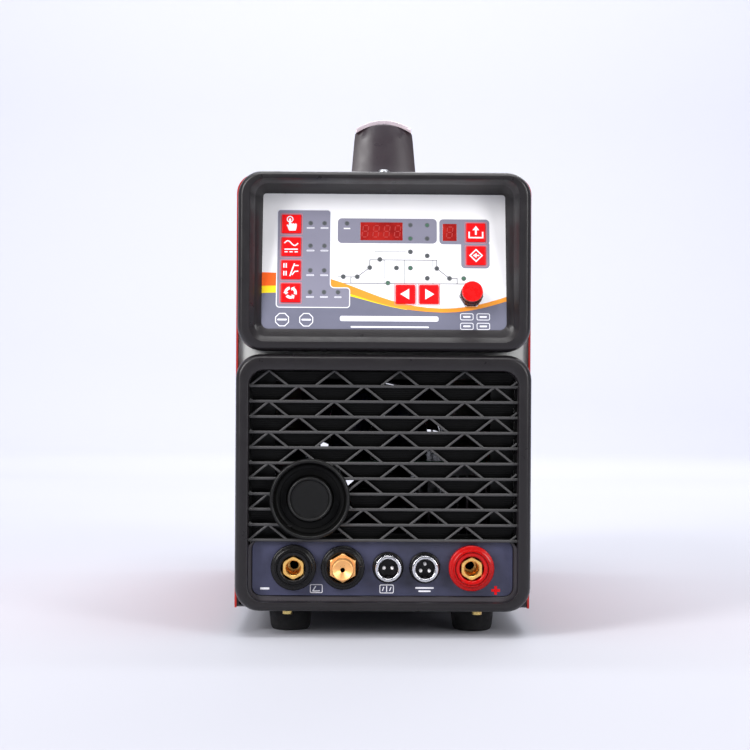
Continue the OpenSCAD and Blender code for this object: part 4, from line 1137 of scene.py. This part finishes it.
def icon_remote():
    """A hand that presses a round button."""
    ring = frame_band(*(arc((-0.9, 2.9), r, 0, 345, 22) for r in (2.1, 1.5)), 0, KEY_INK)
    palm = [(-3.0, -1.0), (-2.2, -2.6), (-1.4, -4.5), (2.6, -4.5), (3.2, -2.4), (3.3, -0.3), (2.6, 0.2),
            (1.9, -0.2), (1.2, 0.3), (0.5, -0.1), (-0.2, 0.4), (-1.6, 0.1), (-1.8, -1.2), (-2.6, -0.4)]
    return [ring, chip(1.4, 5.6, 0.65, (-0.9, 0.6), 0.16), prism(palm, 0, OVER_INK)]


def icon_waves():
    """A sine above and dashes below: alternating and direct current."""
    wave = [(-4.2 + 8.4 * k / 24, 2.2 + 1.5 * math.sin(math.tau * k / 24)) for k in range(25)]
    shapes = [pen(wave, 0.75), chip(8.4, 0.75, 0.3, (0, -1.7))]
    return shapes + [chip(2.1, 0.7, 0.3, (u, -3.4)) for u in (-3.1, 0, 3.1)]


def icon_trigger():
    """Upright dashes beside a torch and its trigger."""
    shapes = [chip(0.75, 3.0, 0.3, (u, v)) for u in (-4.3, -2.9) for v in (2.6, -2.4)]
    return shapes + [pen([(-0.6, -4.2), (2.2, 3.9)], 0.8), pen([(0.6, -3.4), (2.4, -1.2), (4.6, -1.0)], 0.7),
                     chip(3.2, 0.7, 0.3, (3.2, 2.6))]


def icon_cycle():
    """Three chasing arrows."""
    shapes = []
    for start in (100, 220, 340):
        shapes.append(pen(arc((0, 0), 3.0, start, start + 78, 7), 1.7))
        tip, base = math.radians(start + 104), math.radians(start + 76)
        head = [(r * math.cos(a), r * math.sin(a)) for r, a in ((1.3, base), (4.6, base), (3.0, tip))]
        shapes.append(prism(head, 0, OVER_INK))
    return shapes


def icon_recall():
    """An open tray with an arrow out of it."""
    head = [(-2.1, 1.4), (2.1, 1.4), (0, 4.2)]
    return [pen([(-4.2, 0.4), (-4.2, -3.4), (4.2, -3.4), (4.2, 0.4)], 0.9), pen([(0, -1.6), (0, 2.0)], 1.1),
            prism(head, 0, OVER_INK)]


def icon_save():
    """An arrow inside a diamond."""
    outer = [(0, 4.3), (-4.3, 0), (0, -4.3), (4.3, 0)]
    inner = [(x * 0.74, y * 0.74) for x, y in outer]
    head = [(-2.0, 0), (0.3, -1.6), (0.3, 1.6)]
    return [frame_band(outer, inner, 0, KEY_INK), prism(head, 0, OVER_INK), chip(1.8, 0.8, 0.2, (1.1, 0))]


def icon_triangle(toward):
    """A triangle that points left for 1 and right for -1."""
    return [prism([(2.3 * toward, -3.4), (2.3 * toward, 3.4), (-3.2 * toward, 0)][::toward], 0, KEY_INK)]


def keys():
    """Eight red keys with generic icons, each on its own body."""
    icons = {"key_remote": icon_remote(), "key_current_type": icon_waves(),
             "key_trigger_mode": icon_trigger(), "key_process": icon_cycle(), "key_recall": icon_recall(),
             "key_save": icon_save(), "key_left": icon_triangle(1), "key_right": icon_triangle(-1)}
    for name, (u, v) in KEY_SPOTS.items():
        place = panel_frame(u, v)
        piece(name + "_cap", key_cap(), RED_KEY, body=name, replaces=name, place=place)
        piece(name + "_icon", moved(joined(*icons[name]), shift(0, 0, KEY_FACE)), PRINT_WHITE, body=name,
              place=place)
    reach = 6.85
    borders = [outlined_box(u - reach, u + reach, v - reach, v + reach, 1.0, 0.34, 3.4)
               for u, v in KEY_SPOTS.values()]
    piece("panel_key_borders", on_panel(joined(*borders)), PRINT_PALE_RED)


def windows():
    """Glossy red windows with the dark, unlit figures of the display behind their face."""
    glass, figures = [], []
    for u, v, width, height, digits in WINDOWS:
        rings = [flat(round_rect(width - 2 * inset, height - 2 * inset, 0.5, (u, v), steps=4), z)
                 for inset, z in ((0, -1.6), (0, 0.02), (0.12, 0.14), (0.4, 0.2))]
        glass.append(loft(rings))
        step, widest, share = width / digits, 5.4, 0.62
        for k in range(digits):
            at_u = u - width / 2 + step * (k + 0.5)
            figures += seven_segments(at_u, v, min(step, widest) * share, height * share)
    piece("display_windows_moulded", on_panel(joined(*glass)), RED_WINDOW,
          replaces="display_windows")
    piece("display_figures", on_panel(joined(*figures)), SEGMENT_RED)


def seven_segments(u, v, width, height):
    """The seven bars of one figure."""
    lean = 0.12
    bars = [((-1, 1), (1, 1)), ((-1, 0), (1, 0)), ((-1, -1), (1, -1)),
            ((-1, 0), (-1, 1)), ((1, 0), (1, 1)), ((-1, -1), (-1, 0)), ((1, -1), (1, 0))]
    shells = []
    for a, b in bars:
        ends = []
        for (across, up), (other_across, other_up) in ((a, b), (b, a)):
            x = across * width / 2 + (other_across - across) * 0.09 * width
            y = up * height / 2 + (other_up - up) * 0.07 * height
            ends.append((u + x + lean * y, v + y))
        shells.append(pen(ends, 0.62, 0.16, 0.23))
    return shells


def lamps():
    """Domed lamps with thin dark rims."""
    r = LAMP_R
    dome = [(0, -15.9), (r, -15.9), (r, 0.14), (r * 0.95, 0.17), (r * 0.7, 0.21), (0, 0.22)]
    rim = [(r + 0.02, 0.0), (r + 0.4, 0.0), (r + 0.36, 0.17), (r + 0.06, 0.18)]
    for name, spots, finish, node in (("grey", GREY_LAMPS, LAMP_GREY, "indicator_lamps"),
                                        ("green", GREEN_LAMPS, LAMP_GREEN, None)):
        shell = joined(*[lathe(dome, 20, spot) for spot in spots])
        piece(f"{name}_lamps", on_panel(shell), finish, replaces=node)
    rims = joined(*[lathe(rim, 24, spot) for spot in GREY_LAMPS + GREEN_LAMPS])
    piece("lamp_rims", on_panel(rims), PRINT_RIM)


def knob():
    """Glossy cap on a fluted skirt, over the encoder's nut. The cap's side is a dark red that is painted
    shade of its red, and the black skirt is tinted to the same painted shade.
    """
    place = panel_frame(*KNOB)
    flutes, steps = 24, 144

    def fluted(radius, depth):
        return lambda a: radius - depth * (0.5 + 0.5 * math.cos(flutes * a)) ** 2

    rings = circles((3.05, 4.6), (6.6, 4.6), steps=steps)
    for radius, z, depth in ((6.95, 4.8, 0.0), (7.0, 5.1, 0.35), (6.9, 8.3, 0.35), (6.75, 8.8, 0.1),
                             (6.3, 9.3, 0.0)):
        rings.append(polar(fluted(radius, depth), lambda a, r, z=z: z, steps))
    rings += circles((5.9, 9.4), (3.05, 9.4), steps=steps)
    # The black skirt, tinted dark red as painted shade of the cap.
    piece("knob_skirt_fluted", loft(rings, loop=True), KNOB_PAINTED_SHADE, body="knob",
          replaces="knob_skirt", place=place)
    cap = [(0, 10.5), (3.05, 10.5), (3.05, 9.4), (6.0, 9.4), (6.0, 12.9), (6.4, 12.95)]
    cap += arc((5.9, 13.4), 0.5, 0, 84, 4) + [(5.2, 13.9), (2, 13.86), (0, 13.85)]
    piece("knob_cap_moulded", lathe(cap, 96), KNOB_RED, body="knob", replaces="knob_cap",
          place=place)
    # The cap's side, in a dark red that is painted shade of the cap's red.
    collar = [(6.02, 9.4), (6.35, 9.4), (6.4, 9.6), (6.4, 12.9), (6.02, 12.9)]
    piece("knob_cap_collar", lathe(collar, 96), KNOB_PAINTED_SHADE, body="knob", place=place)
    nut = circles((4.6, 0)) + hex_rings(13, 0, 2.2) + circles((4.9, 2.2), (4.6, 1.9))
    piece("encoder_nut_turned", loft(nut, loop=True), CHROME, replaces="encoder_nut",
          place=place @ turn(30, "Z"), smooth=30)


def connector_marks():
    """Polarity signs and plain icons on the connector plate."""
    icon_z, first, second = 29.2, 0.08, 0.09

    def mark(width, height, radius, at, high=first):
        return prism(round_rect(width, height, radius, at), SUNK, high)

    def line(start, end, width, high=first):
        return pen([start, end], width, SUNK, high)

    def framed(x, half):
        at = (x, icon_z)
        return frame_band(round_rect(2 * half, 5.4, 0.9, at), round_rect(2 * half - 1.0, 4.4, 0.6, at),
                          SUNK, first)

    minus = [mark(5.6, 1.3, 0.25, (-72.2, icon_z))]
    plus = [mark(5.4, 1.7, 0.2, (69.6, 28.6)), mark(1.7, 5.4, 0.2, (69.6, 28.6), second)]
    torch = [framed(-40.6, 3.9), line((-42.9, 27.6), (-40.9, 30.8), 0.7),
             line((-42.9, 27.7), (-38.4, 27.9), 0.7, second)]
    pedal = [framed(2.6, 4.4), line((2.6, 27.4), (2.6, 31.0), 0.6), line((0.0, 28.0), (0.9, 30.4), 0.6),
             line((4.4, 28.0), (5.3, 30.4), 0.6)]
    bars = [mark(11.5, 1.0, 0.45, (25.9, 29.9)), mark(7.6, 1.0, 0.45, (25.9, 27.9))]
    place = front_frame(0, 0)
    piece("connector_plate_marks", joined(*minus, *torch, *pedal, *bars), PRINT_WHITE, place=place)
    piece("connector_plate_plus", joined(*plus), RED_KEY, place=place)


# ---- handle ----

STRIP_T = 2.7       # thickness of the bright strip
HANDLE_BOW = 5.6    # how far the arch falls towards the handle's sides
HANDLE_KNEE = 149   # distance of the knees from the middle
HANDLE_HALF = (21, 17.8)


def handle_half(z, foot_z, top_z):
    """Half of the handle's width at a height."""
    return HANDLE_HALF[0] + (HANDLE_HALF[1] - HANDLE_HALF[0]) * (z - foot_z) / (top_z - foot_z)


def handle_path(foot_z, top_z, half):
    """Matching (y, z) points on the body's outer and inner side, from the front foot to the rear foot."""
    leg, bar, under_strip = 30, 14, top_z - STRIP_T - 0.1
    lean = (top_z - foot_z) * math.tan(math.radians(18))
    foot_out, knee_out = (-half + 10, foot_z + 3), (-HANDLE_KNEE - 0.8, under_strip)
    foot_in, knee_in = (-half + leg + 10, foot_z), (-half + leg + lean, top_z - bar)
    paths = []
    for foot, knee, shares, radius in ((foot_out, knee_out, (0, 0.25, 0.5, 0.75), 1.2),
                                       (foot_in, knee_in, (0, 0.2, 0.4, 0.6), 7)):
        line = [tuple(Vector(foot).lerp(Vector(knee), t)) for t in shares]
        line += fillet(foot, knee, (0, knee[1]), radius, 8)
        line += [(y, knee[1]) for y in (-110, -70, -30)]
        paths.append(line + [(-y, z) for y, z in line[::-1]])
    return paths


def arch_stations():
    """Places across the handle from -1 to 1, closer together towards its sides."""
    return [math.sin((k / 7 - 1) * math.pi / 2) for k in range(15)]


def handle_section(outer, inner, foot_z, top_z):
    """One closed ring of the handle: an arched outer side and a softly rounded inner side."""
    outer, inner = Vector(outer), Vector(inner)
    through = (outer - inner).normalized()
    spots = [(across, outer - through * HANDLE_BOW * across * across) for across in arch_stations()]
    edge = [(1, 0.45), (1, 0.25), (0.97, 0.09), (0.88, 0.02), (0.6, 0)]
    for across, depth in edge + [(0, 0)] + [(-across, depth) for across, depth in edge[::-1]]:
        spots.append((across, inner.lerp(outer, depth)))
    ring = []
    for across, p in spots:
        x = handle_half(p.y, foot_z, top_z) * across
        ring.append((x, p.x, min(p.y, top_z - STRIP_T - 0.1 - HANDLE_BOW * (x / HANDLE_HALF[1]) ** 2)))
    return ring


def strip_section(y, top_z, inset):
    """A crescent of the bright strip that lies over the handle's arch."""
    top, under = [], []
    half = HANDLE_HALF[1] - inset
    for across in arch_stations():
        arch = HANDLE_BOW * across * across
        top.append((half * across, y, top_z - arch - inset))
        under.append((half * across, y, top_z - arch - STRIP_T))
    return top + under[::-1]


def handle():
    """Moulded body with a flange at each foot, and the bright strip over its arch."""
    foot_z, top_z, half = cad("handle_body")[0].z, cad("handle_cap")[1].z, cad("handle_body")[1].y
    shells = [loft([handle_section(outer, inner, foot_z, top_z)
                    for outer, inner in zip(*handle_path(foot_z, top_z, half))])]
    low_y, high_y = 137, 168
    for end in (-1, 1):
        outline = round_rect(41.4, high_y - low_y, 4.5, (0, end * (low_y + high_y) / 2))
        shells.append(loft([
            flat([(x * wide, y * deep) for x, y in outline], foot_z + rise)
            for wide, deep, rise in ((1, 1, 0), (1, 1, 3.2), (0.985, 0.9985, 3.8), (0.95, 0.995, 4))]))
    piece("handle_moulding", joined(*shells), HANDLE_PLASTIC,
          replaces="handle_body", smooth=50)
    ends = [(-HANDLE_KNEE, 0.35), (-HANDLE_KNEE + 0.15, 0.12), (-HANDLE_KNEE + 0.45, 0)]
    ends += [(y, 0) for y in (-100, -50, 0, 50, 100)] + [(-y, inset) for y, inset in ends[::-1]]
    piece("handle_strip", loft([strip_section(y, top_z, inset) for y, inset in ends]), SILVER,
          replaces="handle_cap", smooth=50)


# ---- case and feet ----

def louvre_hoods():
    """Pressed hoods over the slots in both sides of the cover."""
    wall_x = cad("case_cover")[1].x
    rows, pitch, first_z = 8, 9, 70
    piece("cover_louvre_hoods", joined(*[louvre_hood(side, wall_x, y_mid, first_z + row * pitch)
                                         for side in (-1, 1) for row in range(rows) for y_mid in (-85, 85)]),
          RED_PAINT)


def louvre_hood(side, wall_x, y_mid, z):
    """A hood that stands out over the slot, open below, with rounded ends."""
    slot_h, half_len, bulge, sheet = 3, 31, 1.45, 0.9
    top_z = z + slot_h + 3.0
    rings = []
    for k in range(17):
        s = -1 + 2 * k / 16
        y = y_mid + s * (half_len + 1.5)
        swell = max(0.05, bulge * min(1.0, (1 - abs(s)) * 9) ** 0.5 if abs(s) < 1 else 0.0)
        line = [(wall_x + swell * out, top_z - (top_z - z - 0.2) * t)
                for t, out in ((0.0, 0.0), (0.25, 0.28), (0.5, 0.62), (0.75, 0.9), (1.0, 1.0))]
        skin = line + [(x - sheet * min(1, swell), h) for x, h in line[::-1]]
        rings.append([(side * x, y, h) for x, h in skin])
    return loft(rings)


def feet():
    """Four rubber feet with a recess for their screw."""
    profile = [(2.6, 16), (2.6, 7), (5.5, 7), (5.5, 0.25), (5.8, 0), (9.8, 0)]
    profile += arc((9.9, 2.3), 2.3, -86, -6, 7)
    profile += [(12.6, 3.4), (13.6, 12.4), (13.7, 14.4), (13.75, 14.8), (13.75, 15.6), (13.4, 16)]
    half_x, half_y = 57.5, 166
    shell = joined(*[lathe(profile, 64, (x, y)) for x in (-half_x, half_x) for y in (-half_y, half_y)])
    piece("rubber_feet", shell, RUBBER, replaces="feet")


def screw_head(radius, height):
    """A domed pan head with a cross recess cut in as a sunken star."""
    steps = 48

    def star(a):
        return radius * (0.14 + 0.4 * abs(math.cos(2 * a)) ** 10)

    outline = ((0.45, 0), (1, 0), (1, 0.45), (0.93, 0.72), (0.75, 0.93), (0.6, 1))
    rings = circles((radius * 0.45, -6), *[(radius * r, height * z) for r, z in outline], steps=steps)
    rings += [polar(star, lambda a, r: height, steps),
              polar(lambda a: star(a) * 0.7, lambda a, r: height * 0.35, steps)]
    return loft(rings)


FAN_SCREW = 52.5    # distance of the fan's screws from its middle, across and up


def at_fan_corners(shell, out):
    """Copies of a shell at the fan's four screws, a distance out from the rear plate."""
    mid_z = middle("fan_frame").z
    return [moved(shell, shift(x, REAR_Y + out, mid_z + z) @ turn(-90, "X"))
            for x in (-FAN_SCREW, FAN_SCREW) for z in (-FAN_SCREW, FAN_SCREW)]


def case_screws():
    """Heads of the cover's, the handle's and the fan's screws."""
    low, high = cad("case_cover")
    cover_head, handle_head, fan_head = screw_head(3.6, 1.7), screw_head(3.8, 2.4), screw_head(3.8, 2.2)
    from_edge, handle_screw_y, flange, ear = 10, 163, 4, 2.6
    shells = [moved(cover_head, shift(side * high.x, y, low.z + from_edge) @ turn(side * 90, "Y"))
              for y in (-150, -50, 50, 150) for side in (-1, 1)]
    shells += [moved(handle_head, shift(0, y, high.z + flange)) for y in (-handle_screw_y, handle_screw_y)]
    shells += at_fan_corners(fan_head, ear)
    piece("case_screws_formed", joined(*shells), STEEL, replaces="case_screws")


# ---- fan and rear fittings ----

ROCKER_AT = (50, 235)           # places on the rear plate: across, up
GLAND_AT = (0, 240)
GAS_INLET_AT = (-50, 215)
EARTH_STUD_AT = (-50, 185)


def fan_rotor():
    """Hub and seven cupped blades."""
    mid = middle("fan_rotor")
    hub_r, tip_r, blades = 19, 55.5, 7
    hub = [(0, 13), (12, 13)] + arc((16.5, 10.5), 2.5, 85, 5, 5)
    hub += [(hub_r, 10), (hub_r, -14.5), (17.5, -15), (17.5, -12), (4, -12), (4, 4), (0, 4)]
    shells = [lathe(hub, 64)]
    shells += [fan_blade(math.tau * blade / blades, hub_r - 0.6, tip_r) for blade in range(blades)]
    piece("fan_rotor_moulding", joined(*shells), BLACK_SATIN, body="fan",
          replaces="fan_rotor", place=rear_frame_at(0, mid.z, mid.y))


def fan_blade(start, root_r, tip_r):
    """A blade that grows wider, flatter and more swept towards its tip."""
    stations, chords, reach_z = 7, 7, 12.3
    rings = []
    for k in range(stations):
        t = k / (stations - 1)
        r = root_r + (tip_r - root_r) * t
        pitch = math.radians(46 - 20 * t)
        chord = 19 + 30 * t
        sweep_angle = start + 0.22 * t * t
        upper, lower = [], []
        for c in range(chords):
            s = -0.5 + c / (chords - 1)
            camber = 2.0 * (1 - (2 * s) ** 2)
            along, lift = s * chord * math.cos(pitch), s * chord * math.sin(pitch)
            thick = 0.95 * (1 - (1.8 * s) ** 2 * 0.8)
            a = sweep_angle + along / r
            for side, line in ((1, upper), (-1, lower)):
                z = lift + camber + side * max(thick, 0.2)
                line.append((r * math.cos(a), r * math.sin(a), max(-reach_z, min(reach_z, z - 1))))
        rings.append(upper + lower[::-1])
    return loft(rings)


def fan_guard():
    """Wire rings and cross wires, with flattened ears under the screws."""
    low, high = cad("fan_guard")
    mid_z = middle("fan_frame").z
    ring_y, wire_y, reach, steps = high.y - 1.02, low.y + 1.9, 70.2, 96
    shells = []
    for r in (14, 26, 38, 50, 58):
        path = [(r * math.cos(a), ring_y, mid_z + r * math.sin(a))
                for a in (math.tau * k / steps for k in range(steps))]
        shells.append(tube(path, 1.0, loop=True))
    for angle in (45, 135):
        x, z = reach * math.cos(math.radians(angle)), reach * math.sin(math.radians(angle))
        shells.append(tube([(-x, wire_y, mid_z - z), (0, wire_y, mid_z), (x, wire_y, mid_z + z)], 0.9))
    ear = lathe([(2.3, 0.02), (4.5, 0.02), (4.5, 2.2), (4.2, 2.5), (2.3, 2.5)], 40)
    shells += at_fan_corners(ear, 0)
    piece("fan_guard_wire", joined(*shells), CHROME, replaces="fan_guard")


def rocker():
    """A curved rocker with its on and off signs. Local Z looks out of the back and local Y looks down."""
    x, z = ROCKER_AT
    pivot_in, rest_tilt = 3, 8
    place = shift(x * MM, (REAR_Y - pivot_in) * MM, z * MM) @ turn(rest_tilt, "X") @ turn(-90, "X")
    half_y, face_z, dip = 11.9, 6.4, 1.9
    face = [(half_y, face_z)] + [(half_y * (1 - k / 6), face_z - dip * math.sin(math.pi / 2 * k / 6))
                                 for k in range(1, 7)]
    face += [(-y, z) for y, z in face[-2::-1]]
    outline = face + [(-12.2, 3), (-6, -5), (6, -5), (12.2, 3)]
    rings = [[(x, y * (1 - inset / 14), z - (inset if z > 0 else 0)) for y, z in outline]
             for x, inset in ((-9.4, 0.5), (-9.0, 0.1), (-8.6, 0), (8.6, 0), (9.0, 0.1), (9.4, 0.5))]
    pin = lathe([(0, -11.5), (1.5, -11.5), (1.5, 11.5), (0, 11.5)], 32)
    shell = joined(loft(rings), moved(pin, turn(90, "Y")))
    piece("power_rocker_moulding", shell, RED_GLOSS, body="rocker",
          replaces="power_switch_rocker", place=place)
    on = prism(round_rect(0.9, 4.2, 0.3), -0.3, 0.35)
    off = frame_band(*(arc((0, 0), r, 0, 350, 24) for r in (2.2, 1.5)), -0.3, 0.35)
    tilt, sign_y, sign_z = 11.5, 7.2, 5.25
    signs = [moved(sign, shift(0, side * sign_y, sign_z) @ turn(side * tilt, "X"))
             for side, sign in ((-1, on), (1, off))]
    piece("power_rocker_signs", joined(*signs), PRINT_WHITE, body="rocker", place=place)


def gas_inlet():
    """Barbed brass hose spigot on a hexagon."""
    tip = cad("gas_inlet")[1].y - REAR_Y
    barb = 4.8
    rings = circles((2.2, -8), (5, -8), (5, 0)) + hex_rings(14, 0.3, 7) + circles((5.0, 7), (4.2, 7.6))
    for k in range(5):
        z = 10 + barb * k
        rings += circles((4.0, z), (4.5, z + 0.3), (3.85, z + barb - 0.5))
    rings += circles((3.9, tip - 0.6), (3.5, tip), (2.5, tip), (2.2, tip - 0.4))
    piece("gas_inlet_turned", loft(rings, loop=True), BRASS, replaces="gas_inlet",
          place=rear_frame_at(*GAS_INLET_AT), smooth=30)


def cable_gland():
    """Hexagon body and ribbed dome nut."""
    ribs, steps = 24, 144

    def ribbed(a):
        return 10 - 0.5 * (0.5 + 0.5 * math.cos(ribs * a))

    rings = circles((5.05, -12), (8, -12), (8, 0), steps=steps) + hex_rings(22, 0.1, 5, steps)
    rings += circles((9.4, 5), (9.4, 6), steps=steps)
    rings += [polar(ribbed, lambda a, r, z=z: z, steps) for z in (6.2, 14.5)]
    rings += circles((9.2, 15.2), (9.0, 17.5), (8.4, 19.4), (7.2, 20.8), (6.2, 21.0), (5.3, 20.6),
                     (5.05, 19.8), steps=steps)
    piece("cable_gland_moulding", loft(rings, loop=True), BLACK_SATIN,
          replaces="cable_gland", place=rear_frame_at(*GLAND_AT))


def earth_stud():
    """Threaded brass stud with its nuts and washer."""
    thread = [(0, -10), (2.6, -10)] + threaded(3.0, -9.8, 17.4, 0.8, 0.4) + [(2.5, 17.8), (0, 18)]
    washer = [(3.05, 0), (6.5, 0), (6.5, 1.1), (6.3, 1.4), (3.05, 1.4)]
    shells = [lathe(thread, 40), lathe(washer, 48)]
    for low, high in ((1.4, 5), (-6.5, -1.5)):
        nut = circles((3.05, low)) + hex_rings(10, low, high) + circles((3.4, high), (3.05, high - 0.3))
        shells.append(loft(nut, loop=True))
    piece("earth_stud_turned", joined(*shells), BRASS, replaces="earth_stud",
          place=rear_frame_at(*EARTH_STUD_AT), smooth=30)


# ---- CAD nodes that stay as they are, with their finishes ----

STAYING = {
    "case_cover": RED_PAINT, "base_pan": GREY_PAINT, "front_plate": FRONT_COAT_AND_PAINTED_SHADE, "rear_plate": PALE_PAINT,
    "connector_plate": PLATE_BLUE, "control_panel": PANEL_FILM, "encoder_shaft": STEEL, "encoder_body": STEEL,
    "control_board": CIRCUIT, "board_components": COMPONENTS, "foot_screws": YELLOW_ZINC,
    "fan_frame": BLACK_SATIN, "power_switch_housing": BLACK_SATIN, "solenoid_valve": BLACK_SATIN,
    "solenoid_plunger": STEEL, "gas_hose": RUBBER, "main_board": CIRCUIT, "capacitors": SLEEVE,
    "heat_sinks": ALUMINIUM, "power_modules": COMPONENTS, "main_transformer": FERRITE, "output_choke": COPPER,
    "bus_bars": COPPER,
}
SOFTENED = {"front_plate": 0.15, "rear_plate": 0.15, "power_switch_housing": 0.35, "fan_frame": 0.4,
            "connector_plate": 0.2, "capacitors": 1.2, "power_modules": 0.5, "main_transformer": 0.8,
            "foot_screws": 0.25}


def finish_cad_nodes():
    """Gives the CAD's own nodes their materials, and rounds the edges of those that show."""
    for node, finish in STAYING.items():
        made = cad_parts[node]
        if not made.material_slots:
            made.data.materials.append(finish.material)
        for slot in made.material_slots:
            slot.material = finish.material
        if node in SOFTENED:
            weld = made.modifiers.new("weld", "WELD")
            weld.merge_threshold = 0.002 * MM
            planar = made.modifiers.new("flat", "DECIMATE")
            planar.decimate_type = "DISSOLVE"
            planar.angle_limit = math.radians(0.6)
            soften(made, SOFTENED[node])


# ---- studio ----

FLOOR_COLOUR = (180, 181, 189)
BACKDROP_COLOUR = (203, 204, 212)
CAMERA_AT = (-19.7, -1315, 156.6)
CAMERA_TURN = -0.74
CAMERA_TILT = 90.205
CAMERA_ROLL = 0.34
CAMERA_LENS = 86.94


def sweep():
    """Pale floor that curves up into a backdrop."""
    half, bend_y, bend_r, top_z, steps = 9000, 2600, 900, 6500, 16
    profile = [(-half, 0), (bend_y, 0)]
    profile += [(bend_y + bend_r * math.sin(t), bend_r * (1 - math.cos(t)))
                for t in (math.pi / 2 * k / steps for k in range(1, steps + 1))]
    profile.append((bend_y + bend_r, top_z))
    points = [(x, y, z) for x in (-half, half) for y, z in profile]
    count = len(profile)
    faces = [(k, k + 1, count + k + 1, count + k) for k in range(count - 1)]
    mesh = bpy.data.meshes.new("backdrop")
    mesh.from_pydata([Vector(p) * MM for p in points], [], faces)
    mesh.shade_smooth()
    paper = (Finish("backdrop_paper", FLOOR_COLOUR, 0.9, Specular_IOR_Level=0.1)
             .across(bend_y - 1000, bend_y, BACKDROP_COLOUR, "Y").mottle(600, (205, 206, 211), 0.1, detail=1))
    mesh.materials.append(paper.material)
    made = new_object("backdrop", mesh)


def softbox(name, at, aim, width, height, watts, color=(1, 1, 1)):
    """A rectangular light, in metres."""
    data = bpy.data.lights.new(name, "AREA")
    data.shape = "RECTANGLE"
    data.size, data.size_y = width, height
    data.energy = watts
    data.color = color
    made = new_object(name, data)
    made.location = at
    made.rotation_euler = (Vector(aim) - Vector(at)).to_track_quat("-Z", "Y").to_euler()


def studio():
    """Pale surroundings and five soft lights."""
    scene = bpy.context.scene
    scene.view_settings.view_transform = "Standard"
    world = bpy.data.worlds.new("studio") if scene.world is None else scene.world
    scene.world = world
    world.use_nodes = True
    background = world.node_tree.nodes["Background"]
    background.inputs["Color"].default_value = (0.94, 0.95, 1.0, 1.0)
    background.inputs["Strength"].default_value = 0.3
    target = (0, -0.1, 0.16)
    softbox("key_left", (-1.5, -1.6, 1.2), target, 0.7, 1.3, 46, (1.0, 0.99, 0.99))
    softbox("fill_right", (1.5, -1.8, 0.9), target, 0.6, 1.2, 26)
    softbox("top", (0, -0.5, 1.9), (0, -0.1, 0.2), 1.6, 1.0, 26)
    softbox("rear", (0.4, 1.9, 1.6), (0, 0.1, 0.2), 1.6, 1.0, 18)
    softbox("backdrop_light", (0, 0.9, 2.9), (0, 3.5, 0.9), 4.0, 1.2, 140, (0.95, 0.955, 1.0))


def camera():
    """The photo's viewpoint."""
    data = bpy.data.cameras.new("camera")
    data.lens = CAMERA_LENS
    data.sensor_width = 36
    data.clip_end = 50
    made = new_object("camera", data)
    made.matrix_world = (Matrix.Translation(Vector(CAMERA_AT) * MM) @ turn(CAMERA_TURN, "Z")
                         @ turn(CAMERA_TILT, "X") @ turn(CAMERA_ROLL, "Z"))
    bpy.context.scene.camera = made


for build in (camera, sweep, studio, upper_bezel, lower_bezel, rear_moulding, vent_grille, sockets,
              panel_print, left_block, right_blocks, curve_lines, generic_marks, keys, windows, lamps, knob,
              connector_marks, handle, louvre_hoods, feet, case_screws, fan_rotor, fan_guard, rocker,
              gas_inlet, cable_gland, earth_stud, finish_cad_nodes):
    build()
